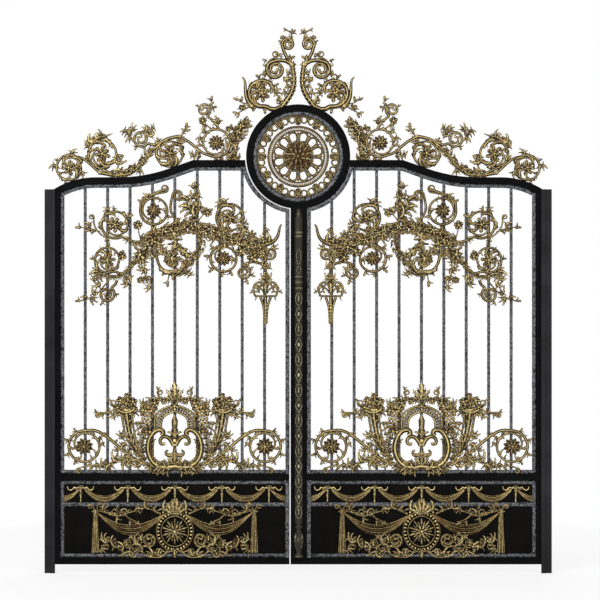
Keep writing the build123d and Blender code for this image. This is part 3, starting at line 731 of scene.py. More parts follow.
SPRAY_FLOWERS = (
    ((-0.235, -0.165), 0.034, "bloom"), ((-0.525, -0.41), 0.062, "flower"),
    ((-0.545, -0.33), 0.042, "flower"), ((-0.60, -0.45), 0.045, "flower"), ((-0.47, -0.44), 0.04, "bloom"),
    ((-0.5, -0.29), 0.03, "bloom"), ((-0.55, -0.485), 0.04, "bloom"), ((0.262, -0.254), 0.036, "bloom"),
    ((0.37, -0.475), 0.032, "bloom"), ((0.12, -0.385), 0.03, "bloom"), ((0.245, -0.465), 0.04, "bloom"),
    ((0.245, -0.645), 0.026, "bloom"), ((0.018, -0.50), 0.058, "flower"), ((-0.06, -0.44), 0.03, "bloom"),
)
SPRAY_GARLANDS = (
    (((0.22, -0.375), (0.14, -0.335), (0.055, -0.295), (-0.035, -0.265), (-0.13, -0.265), (-0.22, -0.29),
     (-0.325, -0.325), (-0.435, -0.355)), 0.088),
    (((-0.435, -0.355), (-0.525, -0.375), (-0.59, -0.405), (-0.62, -0.47)), 0.092),
    (((-0.165, -0.29), (-0.2, -0.36), (-0.16, -0.46), (-0.10, -0.53)), 0.056),
    (((0.305, -0.535), (0.36, -0.6), (0.435, -0.625), (0.52, -0.61)), 0.036),
)
CREST_SCROLLS = (
    ((1.629, -0.078), 0.103, 125, -1, "flower", ((1.413, -0.114), (1.463, -0.068), (1.51, -0.026),
     (1.548, -0.005)), ((104, 0.05), (5, 0.05), (-75, 0.03), (30, 0.03))),
    ((1.392, 0.018), 0.115, 275, 1, "flower", ((1.21, -0.128), (1.288, -0.138), (1.343, -0.116)),
     ((48, 0.065), (30, 0.05), (75, 0.05), (205, 0.07), (185, 0.045), (-95, 0.03))),
    ((1.116, 0.128), 0.068, 210, 1, "curl", ((0.978, 0.107), (1.033, 0.074)), ((-60, 0.035), (250, 0.03))),
    ((0.914, 0.024), 0.108, 60, -1, "flower", ((0.845, 0.145), (0.91, 0.14)), ((40, 0.04), (20, 0.03),
     (-95, 0.03))),
    ((0.583, 0.097), 0.113, -55, -1, "rosette", ((0.845, 0.145), (0.765, 0.105), (0.695, 0.03)),
     ((14, 0.05), (-8, 0.04), (45, 0.05), (-88, 0.04), (-110, 0.045), (150, 0.04))),
    ((0.669, 0.332), 0.056, 250, -1, "curl", ((0.565, 0.2), (0.595, 0.255)), ((165, 0.045), (140, 0.04),
     (30, 0.025))),
)
CREST_STEMS = (
    (((1.413, -0.114), (1.288, -0.14), (1.163, -0.114), (1.058, 0.024), (0.998, 0.082), (0.93, 0.135),
     (0.845, 0.145)), 0.027, 1.0),
    (((0.85, 0.135), (0.815, 0.16), (0.797, 0.205)), 0.013, 0.7),
    (((1.47, 0.105), (1.42, 0.14), (1.37, 0.145), (1.32, 0.165)), 0.042, 0.1),
    (((1.56, -0.03), (1.585, -0.08), (1.55, -0.11), (1.50, -0.115)), 0.026, 0.3),
    (((0.62, 0.20), (0.655, 0.225), (0.678, 0.25)), 0.012, 0.7),
    (((0.505, 0.205), (0.465, 0.2), (0.44, 0.17)), 0.012, 0.7),
)
CREST_TUFTS = (
    ((1.545, -0.105), 240, 0.05), ((1.58, -0.05), 200, 0.04), ((1.50, -0.025), 70, 0.035),
    ((1.41, 0.14), 100, 0.05), ((1.465, 0.1), 60, 0.065), ((1.25, -0.12), 40, 0.06),
    ((1.27, -0.13), 85, 0.055), ((1.22, -0.13), -60, 0.035), ((1.145, -0.1), 190, 0.05),
    ((1.18, 0.155), 25, 0.085), ((1.165, 0.18), 55, 0.055), ((1.18, 0.13), -10, 0.05),
    ((1.078, 0.168), 138, 0.08), ((1.09, 0.176), 110, 0.05), ((1.066, 0.15), 165, 0.055),
    ((0.985, 0.1), 60, 0.04), ((0.86, 0.12), 205, 0.065), ((0.825, 0.155), 110, 0.035),
    ((0.797, 0.195), 95, 0.045), ((0.80, 0.18), 30, 0.035), ((0.80, 0.18), 160, 0.035),
    ((0.69, 0.0), 12, 0.09), ((0.7, 0.02), 60, 0.04), ((0.575, 0.225), 92, 0.065), ((0.6, 0.24), 60, 0.04),
    ((0.648, 0.215), 20, 0.035), ((0.62, 0.39), 100, 0.04), ((0.47, 0.19), 80, 0.04),
)
CREST_FLOWERS = (
    ((0.678, 0.256), 0.032, "bloom"), ((1.185, -0.085), 0.03, "bloom"), ((0.495, 0.195), 0.025, "bloom"),
)
CREST_GARLANDS = (
    (((1.33, -0.125), (1.25, -0.118), (1.18, -0.095), (1.125, -0.055), (1.085, 0.0),
     (1.045, 0.045)), 0.052),
    (((0.46, -0.03), (0.468, 0.06), (0.45, 0.13), (0.41, 0.19), (0.365, 0.245)), 0.08),
)
CROWN_SCROLLS = (
    ((0.258, 0.451), 0.115, 250, 1, "open", ((0.11, 0.362), (0.17, 0.322)), ((150, 0.04),
     (-40, 0.04)), 0.019),
    ((0.163, 0.62), 0.078, 70, -1, "curl", ((0.04, 0.655), (0.095, 0.696)), ((-20, 0.035), (20, 0.03),
     (-60, 0.03)), 0.0155),
    ((0.073, 0.8), 0.056, -35, 1, "curl", ((0.04, 0.655), (0.092, 0.715)), ((20, 0.03),
     (60, 0.03)), 0.0135),
    ((0.163, 0.727), 0.03, 240, -1, "knob", ((0.215, 0.67), (0.2, 0.695)), ()),
)
CROWN_STEMS = (
    (((0.135, 0.33), (0.062, 0.425), (0.03, 0.5), (0.03, 0.59), (0.044, 0.655)), 0.044, 0.75),
    (((0.255, 0.56), (0.19, 0.535), (0.16, 0.475), (0.17, 0.43)), 0.012, 0.7),
    (((0.33, 0.36), (0.366, 0.40), (0.376, 0.47), (0.376, 0.525), (0.384, 0.556),
     (0.4, 0.568)), 0.036, 0.24),
    (((0.04, 0.83), (0.045, 0.87), (0.06, 0.89), (0.08, 0.9)), 0.013, 0.7),
    (((0.335, 0.38), (0.375, 0.375), (0.41, 0.39), (0.435, 0.405)), 0.012, 0.7),
    (((0.322, 0.372), (0.385, 0.335), (0.43, 0.31)), 0.013, 0.7),
)
CROWN_TUFTS = (
    ((0.355, 0.5), 160, 0.04), ((0.08, 0.895), 40, 0.03), ((0.042, 0.872), 125, 0.036),
    ((0.045, 0.88), 95, 0.03), ((0.045, 0.85), -10, 0.035), ((0.065, 0.69), 150, 0.045),
    ((0.05, 0.66), 190, 0.035), ((0.046, 0.545), 10, 0.06), ((0.05, 0.50), -10, 0.055),
    ((0.048, 0.59), 25, 0.05), ((0.075, 0.455), -10, 0.05), ((0.13, 0.715), 60, 0.03),
    ((0.12, 0.7), 95, 0.03), ((0.43, 0.40), 30, 0.035), ((0.405, 0.388), 100, 0.04),
    ((0.385, 0.378), 265, 0.045), ((0.36, 0.38), 200, 0.04), ((0.40, 0.325), 80, 0.04),
    ((0.42, 0.315), 290, 0.04), ((0.43, 0.31), 10, 0.035), ((0.165, 0.44), 120, 0.06),
    ((0.155, 0.40), 170, 0.05), ((0.12, 0.36), 200, 0.045), ((0.13, 0.37), 110, 0.05),
    ((0.27, 0.555), 40, 0.04), ((0.235, 0.565), 80, 0.045), ((0.22, 0.68), 20, 0.035),
    ((0.105, 0.57), 240, 0.045), ((0.242, 0.352), 260, 0.045), ((0.30, 0.364), -60, 0.045),
)
CROWN_FLOWERS = (
    ((0.275, 0.475), 0.06, "flower"), ((0.405, 0.35), 0.02, "bloom"), ((0.115, 0.845), 0.016, "bloom"),
    ((0.06, 0.702), 0.02, "bloom"),
)
CARTOUCHE_SCROLLS = (
    ((0.642, 0.168), 0.126, 100, -1, "rosette", ((0.205, 0.035), (0.31, 0.085), (0.435, 0.2), (0.51, 0.258),
     (0.575, 0.286)), ((60, 0.035), (20, 0.04), (-25, 0.04), (-60, 0.035), (150, 0.04), (-110, 0.04))),
    ((0.68, -0.005), 0.026, 100, -1, "knob", ((0.49, 0.01), (0.575, 0.035), (0.645, 0.025)), ()),
    ((0.345, 0.225), 0.03, 160, -1, "knob", ((0.225, 0.065), (0.27, 0.185), (0.305, 0.25)), ((0, 0.03),)),
    ((0.545, 0.39), 0.026, 120, -1, "knob", ((0.37, 0.385), (0.44, 0.40), (0.49, 0.405)),
     ((60, 0.03),), 0.0085),
    ((0.435, 0.475), 0.03, 240, 1, "knob", ((0.36, 0.40), (0.39, 0.44)), ((40, 0.03),)),
    ((0.255, 0.31), 0.024, 270, -1, "knob", ((0.23, 0.065), (0.265, 0.15), (0.295, 0.25), (0.275, 0.285)),
     ()),
    ((0.105, 0.55), 0.026, -20, 1, "knob", ((0.0, 0.47), (0.055, 0.5), (0.11, 0.515)), ((60, 0.03),)),
)
CARTOUCHE_STEMS = (
    (((0.345, 0.42), (0.335, 0.34), (0.32, 0.26), (0.29, 0.16), (0.235, 0.075)), 0.05, 0.4),
    (((0.31, 0.42), (0.30, 0.34), (0.283, 0.24), (0.258, 0.15), (0.235, 0.085)), 0.02, 0.4),
    (((0.38, 0.42), (0.37, 0.34), (0.35, 0.24), (0.3, 0.14), (0.245, 0.08)), 0.02, 0.4),
    (((0.28, 0.06), (0.36, 0.075), (0.44, 0.045), (0.53, 0.03)), 0.018, 0.7),
)
CARTOUCHE_TUFTS = (
    ((0.35, 0.42), 80, 0.09), ((0.33, 0.42), 115, 0.08), ((0.30, 0.40), 150, 0.06),
    ((0.39, 0.40), 35, 0.065), ((0.36, 0.26), -20, 0.055), ((0.345, 0.19), -40, 0.065),
    ((0.315, 0.13), -50, 0.065), ((0.27, 0.085), -30, 0.09), ((0.31, 0.085), 0, 0.09),
    ((0.34, 0.07), -50, 0.07), ((0.40, 0.06), 35, 0.075), ((0.44, 0.04), -25, 0.07),
    ((0.49, 0.03), 40, 0.06), ((0.53, 0.03), 0, 0.06), ((0.24, 0.05), -25, 0.07), ((0.58, 0.03), -50, 0.04),
    ((0.29, 0.33), 170, 0.045), ((0.27, 0.25), 160, 0.045), ((0.24, 0.19), 30, 0.04),
    ((0.24, 0.14), 150, 0.04), ((0.23, 0.11), -10, 0.05), ((0.03, 0.49), 45, 0.05), ((0.10, 0.5), 15, 0.05),
    ((0.165, 0.48), 60, 0.05), ((0.21, 0.47), 20, 0.05), ((0.42, 0.397), -35, 0.055),
    ((0.455, 0.403), 40, 0.05), ((0.5, 0.40), -20, 0.045), ((0.48, 0.23), 60, 0.04),
    ((0.43, 0.18), 120, 0.04), ((0.5, 0.2), -40, 0.045), ((0.395, 0.156), -30, 0.05),
)
CARTOUCHE_FLOWERS = (
    ((0.345, 0.475), 0.05, "flower"), ((0.295, 0.485), 0.034, "bloom"), ((0.385, 0.495), 0.032, "bloom"),
    ((0.405, 0.445), 0.034, "bloom"), ((0.32, 0.425), 0.036, "bloom"), ((0.29, 0.44), 0.03, "bloom"),
    ((0.335, 0.525), 0.028, "bloom"), ((0.195, 0.455), 0.04, "flower"), ((0.14, 0.475), 0.034, "bloom"),
    ((0.225, 0.425), 0.03, "bloom"), ((0.165, 0.42), 0.034, "bloom"), ((0.075, 0.49), 0.028, "bloom"),
    ((0.175, 0.27), 0.034, "bloom"),
)
DRAPERY_SCROLLS = (
    ((0.185, 0.095), 0.058, 300, -1, "curl", ((0.05, 0.02), (0.07, -0.018), (0.135, -0.032),
     (0.225, -0.012), (0.25, 0.05)), ()),
    ((0.118, 0.022), 0.026, 120, 1, "knob", ((0.03, 0.015), (0.06, -0.002)), ()),
    ((0.43, 0.295), 0.034, 0, -1, "knob", ((0.565, 0.31), (0.515, 0.3), (0.47, 0.285)),
     ((120, 0.03),), 0.0085),
    ((0.49, 0.05), 0.03, 0, 1, "knob", ((0.525, -0.03), (0.525, 0.015)), ()),
    ((0.60, 0.335), 0.024, 180, -1, "knob", ((0.565, 0.31),), ()),
    ((0.53, 0.345), 0.024, -20, 1, "knob", ((0.56, 0.31),), ()),
    ((0.335, 0.075), 0.042, 200, 1, "knob", ((0.25, 0.03), (0.30, 0.005)), ()),
)
DRAPERY_STEMS = (
    (((0.462, 0.28), (0.41, 0.262), (0.355, 0.28), (0.315, 0.297), (0.27, 0.305)), 0.017, 0.6),
    (((0.355, 0.28), (0.335, 0.255), (0.29, 0.232), (0.26, 0.225)), 0.014, 0.6),
    (((0.25, 0.035), (0.3, -0.005), (0.37, 0.01), (0.43, 0.06), (0.5, 0.10)), 0.013, 0.7),
    (((0.05, 0.02), (0.08, -0.022), (0.145, -0.042), (0.235, -0.03), (0.33, -0.015)), 0.013, 0.7),
    (((0.105, 0.285), (0.14, 0.297), (0.17, 0.315), (0.215, 0.33)), 0.015, 0.6),
)
DRAPERY_TUFTS = (
    ((0.235, 0.015), 75, 0.07), ((0.25, 0.06), 45, 0.075), ((0.3, 0.0), 20, 0.06), ((0.37, 0.03), 80, 0.06),
    ((0.4, 0.05), 20, 0.065), ((0.44, 0.07), 70, 0.055), ((0.47, 0.09), 0, 0.055), ((0.49, 0.1), 45, 0.06),
    ((0.28, -0.02), 10, 0.05), ((0.2, -0.03), 160, 0.045), ((0.19, 0.32), 50, 0.055),
    ((0.165, 0.31), 140, 0.045), ((0.215, 0.33), -10, 0.05), ((0.29, 0.225), 200, 0.045),
    ((0.32, 0.24), 270, 0.04), ((0.285, 0.305), 150, 0.05), ((0.33, 0.285), 60, 0.04),
    ((0.41, 0.265), -80, 0.045), ((0.5, 0.3), 70, 0.05), ((0.385, 0.275), 100, 0.05),
    ((0.13, -0.03), 70, 0.06), ((0.17, -0.02), 100, 0.06), ((0.1, -0.02), 60, 0.05),
    ((0.35, -0.005), -10, 0.045), ((0.055, 0.30), 60, 0.075), ((0.0, 0.30), 90, 0.09),
    ((0.53, 0.02), 150, 0.05),
)
DRAPERY_FLOWERS = (
    ((0.24, 0.12), 0.026, "bloom"), ((0.28, 0.10), 0.024, "bloom"), ((0.265, 0.145), 0.02, "bloom"),
    ((0.31, 0.125), 0.022, "bloom"), ((0.345, 0.085), 0.024, "bloom"), ((0.565, 0.305), 0.026, "bloom"),
)


# ------------------------------------------------------------------ ornaments of a leaf
def make_spray():
    """Scrolls, flowers and garlands that hang over the upper bars."""
    work = Work("spray")
    dress(work, SPRAY_SCROLLS, SPRAY_STEMS, SPRAY_TUFTS, SPRAY_FLOWERS, SPRAY_GARLANDS)
    # capital: curls and a leaf over a cap, with its tapering tail
    capital = Work("capital half")
    capital.bar([(0.0, 0.02), (0.010, 0.075), (0.042, 0.104), (0.078, 0.085), (0.09, 0.04), (0.074, -0.002)],
                0.0105, 0.65, "moulded", (0.9, 0.8))
    capital.bar([(0.008, 0.02), (0.03, 0.058), (0.056, 0.056), (0.058, 0.028), (0.04, 0.026)],
                0.007, 0.6, "round")
    capital.bar([(0.0, 0.0), (0.068, 0.0)], 0.008, 0.7, "round")
    capital.bar([(0.036, -0.008), (0.02, -0.05), (0.012, -0.1), (0.008, -0.2)],
                0.009, 0.6, "round", (1.2, 0.6))
    leaf(capital, (0.01, 0.085), 60, 0.055, -1)
    leaf(capital, (0.074, -0.002), 250, 0.03, 1)
    tail = Work("capital")
    tail.add_mirrored(capital)
    tail.bar([(0.0, -0.008), (0.0, -0.06), (0.0, -0.2)], 0.01, 0.7, "round", (1.3, 0.8), (0.004, 0.0))
    tail.copy("acanthus", (0.0, 0.0, 0.008), 90, (0.1, 0.06, 0.05), 0.65)
    for number in range(6):
        level = -0.06 - number * 0.024
        for at, turn in through([(-0.016, level), (0.016, level)], 0.0105):
            tail.copy("bead", (*at, 0.012), turn, 0.0055, 0.7)
    points, faces, relief, tone = tail.arrays()
    work.take(points + (-0.645, -0.758, 0.0), faces, relief, tone)
    grapes(work, (-0.64, -0.30), 0.05, 0.05, -60)
    return work.arrays()


def make_crest():
    """Scrolls along the top rail."""
    work = Work("crest", "two_faced")
    dress(work, CREST_SCROLLS, CREST_STEMS, CREST_TUFTS, CREST_FLOWERS, CREST_GARLANDS)
    return work.arrays()


def make_crown_half():
    """One half of the crown over the ring."""
    work = Work("crown", "two_faced")
    dress(work, CROWN_SCROLLS, CROWN_STEMS, CROWN_TUFTS, CROWN_FLOWERS)
    # collars along the main stem
    for at, turn in through(CROWN_STEMS[0][0], 0.03)[1:]:
        across = [out_from(at, turn + 90, -0.018), out_from(at, turn + 90, 0.018)]
        for level in (-0.02, 0.011):
            work.bar(across, 0.006, 0.85, "round", lift=(level, level))
    return work.arrays()


def make_cartouche():
    """Heart ring, fleur-de-lis, horns of flowers and end scrolls over the lock rail."""
    wing = Work("cartouche wing")
    dress(wing, CARTOUCHE_SCROLLS, CARTOUCHE_STEMS, CARTOUCHE_TUFTS, CARTOUCHE_FLOWERS)
    grapes(wing, (0.2, 0.36), 0.12, 0.17, -80)
    # leaves along the horn and its lip
    for number, (at, turn) in enumerate(through(CARTOUCHE_STEMS[0][0], 0.026)):
        side = (-1) ** number
        leaf(wing, at, turn + 180 + 25 * side, 0.05, 0 if number > 8 else side, 0.4, 0.012)
    lip = [(0.288, 0.43), (0.315, 0.412), (0.345, 0.406), (0.378, 0.412), (0.405, 0.43)]
    wing.bar(lip, 0.012, 0.7, "round", lift=(0.012, 0.012))
    # the heart's half, rolled in at its shoulder, and the arch
    heart = [(0.0, 0.028), (0.05, 0.018), (0.11, 0.022), (0.168, 0.065), (0.196, 0.15), (0.178, 0.235),
             (0.135, 0.286), (0.088, 0.287), (0.075, 0.255), (0.1, 0.245)]
    wing.bar(heart, 0.026, 0.72, "moulded", (0.95, 0.62), (0.0, 0.012))
    wing.bar([(0.098, 0.30), (0.1, 0.345), (0.072, 0.395), (0.0, 0.418)], 0.009, 0.75, "round",
             lift=(0.006, 0.006))
    wing.bar([(0.142, 0.29), (0.15, 0.36), (0.11, 0.435), (0.0, 0.462)], 0.0085, 0.7, "round",
             lift=(0.004, 0.004))
    outside = [(0.07, -0.004), (0.13, -0.002), (0.19, 0.04), (0.226, 0.13), (0.216, 0.23), (0.17, 0.31)]
    for at, turn in through(outside, 0.017):
        wing.copy("husk", (*out_from(at, turn + 90, 0.01), 0.004), turn - 75, (0.052, 0.036, 0.03), 0.3)
    # fluted shell of the arch
    for number in range(10):
        turn = 86 - number * 10
        wing.copy("ray", (*out_from((0.0, 0.312), turn, 0.096), 0.004), turn, (0.05, 0.088, 0.03), 0.35)
    # fleur-de-lis petals and their curls
    wing.bar([(0.006, 0.175), (0.03, 0.225), (0.075, 0.245), (0.108, 0.215), (0.098, 0.178), (0.072, 0.185)],
             0.017, 0.6, "moulded", (1.0, 0.6), (0.004, 0.01))
    wing.copy("berry", (0.076, 0.188, 0.01), 0, 0.012, 0.6)
    wing.bar([(0.006, 0.12), (0.03, 0.098), (0.062, 0.105), (0.066, 0.135), (0.046, 0.14)],
             0.012, 0.55, "moulded", (1.0, 0.6), (0.004, 0.008))
    leaf(wing, (0.005, 0.06), 62, 0.085, -1, 0.6)
    leaf(wing, (0.004, 0.22), 66, 0.075, -1, 0.6, 0.008)
    # acanthus that lines the ring
    for number, (at, turn) in enumerate(through(heart[1:7], 0.042)):
        leaf(wing, out_from(at, turn - 90, 0.014), turn - 50, 0.055, 1, 0.5, 0.008)
        if 1 <= number <= 4:
            hook(wing, out_from(at, turn - 90, 0.024), turn - 70, 0.05, 1, 0.004)
    hook(wing, (0.05, 0.03), 75, 0.05, -1, 0.004)
    hook(wing, (0.09, 0.035), 110, 0.045, 1, 0.004)
    tuft(wing, (0.02, 0.012), 5, 0.12, 0.014)
    tuft(wing, (0.09, 0.01), 20, 0.1, 0.012)
    wing.copy("acanthus", (0.0, 0.03, 0.012), 52, (0.085, 0.06, 0.04), 0.6)
    inside = [(0.06, 0.042), (0.115, 0.05), (0.158, 0.09), (0.17, 0.16), (0.152, 0.225)]
    for at, turn in through(inside, 0.026):
        wing.copy("husk", (*at, 0.012), turn + 35, (0.034, 0.028, 0.02), 0.45)
    for number in range(3):
        hook(wing, (0.245 + 0.008 * number, 0.12 + number * 0.055), 5, 0.045, 1)

    whole = Work("cartouche")
    whole.add_mirrored(wing)
    whole.copy("ray", (0, 0.2, 0.008), 90, (0.19, 0.18, 0.06), 0.5)
    whole.copy("husk", (0, 0.2, 0.004), 90, (0.11, 0.12, 0.06), 0.5)
    whole.copy("ray", (0, 0.21, 0.006), -90, (0.2, 0.15, 0.05), 0.5)
    whole.copy("berry", (0, 0.208, 0.012), 0, 0.018, 0.8)
    whole.copy("berry", (0, 0.178, 0.008), 0, (0.026, 0.014, 0.02), 0.5)
    whole.copy("berry", (0, 0.118, 0.006), 0, (0.018, 0.01, 0.016), 0.5)
    whole.copy("acanthus", (0, 0.47, 0.006), 90, (0.165, 0.09, 0.07), 0.9)
    for turn in (58, 75, 105, 122):
        whole.copy("acanthus", (0, 0.475, 0.004), turn, (0.12, 0.05, 0.05), 0.75)
    bloom(whole, (0, 0.455), 0.032, 0.55, 0.02)
    return whole.arrays()


STRANDS = 5
BOW_PITCH = 0.3345


def swag_strand(work, start, end, level, strand):
    """One of the strands that hang from one bow to the next."""
    places = []
    for step in range(9):
        share = step / 8
        dip = 4 * share * (1 - share)
        width = 0.25 + 0.75 * sin(pi * share) ** 0.7
        drop = level - 0.102 * dip + strand * 0.0102 * width
        places.append((start + (end - start) * share, drop, 0.004 * dip))
    work.bar(places, 0.005, 0.3 + 0.35 * (strand % 2), "round")


def bow(work, at):
    """Ribbon bow with its tassel."""
    x, y = at
    for side in (-1, 1):
        ribbon = [(x + side * step, y + rise) for step, rise in (
            (0.012, 0.010), (0.030, 0.002), (0.044, 0.014), (0.056, -0.004), (0.076, -0.012), (0.094, 0.004),
            (0.092, 0.018))]
        work.bar(ribbon, 0.0092, 1.0, "round", (1.1, 0.7), (0.004, 0.008))
        work.copy("husk", (x, y + 0.024, 0.004), 90 + side * 128, (0.05, 0.045, 0.03), 0.62)
    work.copy("husk", (x, y + 0.026, 0.008), -90, (0.058, 0.06, 0.035), 0.6)
    bloom(work, (x, y + 0.008), 0.016, 0.6, 0.012)
    work.copy("husk", (x, y - 0.018, 0.004), -90, (0.046, 0.05, 0.03), 0.7)
    work.copy("husk", (x, y - 0.052, 0.004), 90, (0.022, 0.035, 0.02), 0.6)
    work.bar([(x, y - 0.055), (x, y - 0.072), (x, y - 0.094)], 0.007, 1.0, "round", (0.8, 1.1))


def make_swags():
    """Five bows with swags between them, on the upper panel."""
    work = Work("swags")
    level = SWAG_TOP - 0.032
    knots = [PANEL_MIDDLE + number * BOW_PITCH for number in range(-2, 3)]
    for start, end in zip(knots, knots[1:]):
        for strand in range(STRANDS):
            swag_strand(work, start + 0.012, end - 0.012, level + 0.008, strand)
    # half swags that run out at the panel's ends
    for knot, edge in ((knots[0], PANEL_START), (knots[-1], PANEL_END)):
        for strand in range(STRANDS):
            lift = strand * 0.0098
            places = [(knot, level + 0.008), (knot * 0.55 + edge * 0.45, level - 0.075 + lift * 0.8),
                      (edge, level - 0.092 + lift)]
            work.bar(places, 0.005, 0.3 + 0.35 * (strand % 2), "round")
    for knot in knots:
        bow(work, (knot, level))
    return work.arrays()


def make_drapery():
    """Roundel, draped cloth, tassels and leaf scrolls on the lower panel."""
    wing = Work("drapery wing")
    dress(wing, DRAPERY_SCROLLS, DRAPERY_STEMS, DRAPERY_TUFTS, DRAPERY_FLOWERS)
    for strand in range(6):
        share = strand / 5
        places = [(0.555, 0.292), (0.49, 0.222 + 0.03 * share), (0.41, 0.155 + 0.06 * share),
                  (0.32, 0.128 + 0.07 * share), (0.22, 0.152 + 0.062 * share), (0.14, 0.212 + 0.036 * share),
                  (0.075, 0.272 + 0.008 * share)]
        wing.bar(places, 0.005, 0.2 + 0.3 * (strand % 2), "round", (0.8, 1.0), (0.002, 0.0))
    # gathered tassel
    for fold in range(5):
        side = (fold - 2) / 2
        hem = 0.008 - 0.004 * (fold % 2)
        places = [(0.564 + side * spread, up) for spread, up in ((0.011, 0.3), (0.017, 0.16), (0.024, hem))]
        wing.bar(places, 0.0056, 0.45 + 0.3 * (fold % 2), "round", (0.75, 1.2), (0.004, 0.0))
    bloom(wing, (0.564, 0.306), 0.02, 0.6, 0.012)
    # crown of the roundel
    for turn, length in ((84, 0.12), (62, 0.1), (40, 0.085)):
        wing.copy("acanthus", (0.006, 0.268, 0.008), turn, (length, length * 0.7, 0.05), 0.68)
    hook(wing, (0.03, 0.285), 50, 0.06, -1, 0.005)
    whole = Work("drapery")
    whole.add_mirrored(wing)
    centre = (0.0, 0.158)
    tall = 1.1
    for number, at in enumerate(oval(centre, 0.118, 0.118 * tall, 32)):
        whole.copy("berry", (*at, 0.004), number * 360 / 32, (0.0125, 0.0085, 0.012), 0.8)
    for radius, half_width, tone in ((0.1, 0.0055, 0.5), (0.134, 0.005, 0.4)):
        whole.bar(oval(centre, radius, radius * tall, 16), half_width, tone, "round", closed=True)
    for number in range(20):
        turn = number * 18
        length = 0.092 if number % 2 else 0.075
        whole.copy("ray", (*centre, 0.006), turn, (length, length * 0.75, 0.05), 0.6)
    for number in range(8):
        whole.copy("husk", (*centre, 0.014), number * 45 + 22, (0.05, 0.045, 0.035), 0.66)
    whole.copy("berry", (*centre, 0.02), 0, 0.014, 0.8)
    whole.copy("acanthus", (0, 0.03, 0.006), -90, (0.065, 0.07, 0.04), 0.7)
    bloom(whole, (0, 0.022), 0.024, 0.6, 0.012)
    return whole.arrays()


# ------------------------------------------------------------------ medallion
def on_ring(radius, turn):
    """Place at a radius and direction from the medallion's middle."""
    return out_from((0.0, 0.0), turn, radius)


def circle(radius):
    """Places evenly round the medallion's middle."""
    return [on_ring(radius, number * 10) for number in range(36)]


PETALS = 12
SECTOR = 360 / PETALS


def make_scroll_circle():
    """Pairs of small scrolls between leaf clusters, round the rose window."""
    work = Work("scroll circle")
    steps = 15
    for number in range(PETALS):
        turn = number * SECTOR
        between = turn + SECTOR / 2
        for side in (-1, 1):
            at = on_ring(0.2625, between + side * SECTOR * 0.21)
            ring = []
            for step in range(steps + 1):
                share = step / steps
                bend = between + side * (150 - share * 430)
                ring.append(out_from(at, bend, 0.0272 * (1 - 0.42 * share**2)))
            work.bar(ring, 0.008, 0.4, "round", (1.0, 0.7))
            work.copy("bead", (*ring[-1], 0.003), 0, 0.009, 0.8)
        foot = on_ring(0.224, turn)
        for bend, length in ((0, 0.07), (34, 0.052), (-34, 0.052)):
            work.copy("acanthus", (*foot, 0.004), turn + bend, (length, length * 0.9, 0.045), 0.25)
        for bend in (-70, 70):
            work.copy("husk", (*on_ring(0.236, turn), 0.008), turn + bend, (0.03, 0.03, 0.025), 0.55)
        bloom(work, on_ring(0.262, turn), 0.019, 0.5, 0.012)
        work.copy("husk", (*on_ring(0.292, between), 0.002), between + 180, (0.032, 0.032, 0.025), 0.55)
    work.bar(circle(RIM_INNER - 0.004), 0.005, 0.5, "round", closed=True)
    return work.arrays()


def make_rose_window():
    """Beaded ring with twelve arched lights."""
    work = Work("rose window")
    for radius, half_width, tone in ((0.2135, 0.0075, 0.4), (0.186, 0.0065, 0.3)):
        work.bar(circle(radius), half_width, tone, "moulded", closed=True)
    for number in range(84):
        turn = number * 360 / 84
        work.copy("bead", (*on_ring(0.1995, turn), 0.004), turn, 0.0066, 0.45)
    for number in range(PETALS):
        turn = (number + 0.5) * SECTOR
        head = on_ring(0.146, turn)
        for reach, half_width, tone in ((0.0335, 0.0062, 0.45), (0.026, 0.003, 0.2)):
            arch = [out_from(on_ring(0.092, turn), turn - 90, reach * 0.52)]
            for step in range(9):
                arch.append(out_from(head, turn - 90 + 180 * step / 8, reach))
            arch.append(out_from(on_ring(0.092, turn), turn + 90, reach * 0.52))
            work.bar(arch, half_width, tone, "round")
        spandrel = on_ring(0.176, number * SECTOR)
        work.copy("husk", (*spandrel, 0.002), number * SECTOR + 180, (0.045, 0.035, 0.03), 0.5)
        work.copy("bead", (*on_ring(0.178, number * SECTOR), 0.006), 0, 0.007, 0.75)
    return work.arrays()


def make_rosette():
    """Great layered flower at the medallion's middle."""
    work = Work("rosette")
    for number in range(12):
        # curled pairs that give it a ragged edge
        turn = number * 30
        leaf(work, on_ring(0.05, turn), turn + 16, 0.07, 1, 0.2, 0.004)
        leaf(work, on_ring(0.05, turn), turn - 16, 0.07, -1, 0.2, 0.004)
    for ring, (count, length, rise, tone) in enumerate((
        (12, 0.105, 0.008, 0.05), (12, 0.088, 0.014, 0.35), (10, 0.07, 0.02, 0.0),
        (8, 0.052, 0.027, 0.4), (6, 0.034, 0.033, 0.1),
    )):
        petal_ring(work, (0, 0, rise), ring, count, (length, length * 9.5 / count, 0.035), tone)
    work.copy("berry", (0, 0, 0.037), 0, 0.009, 0.6)
    return work.arrays()


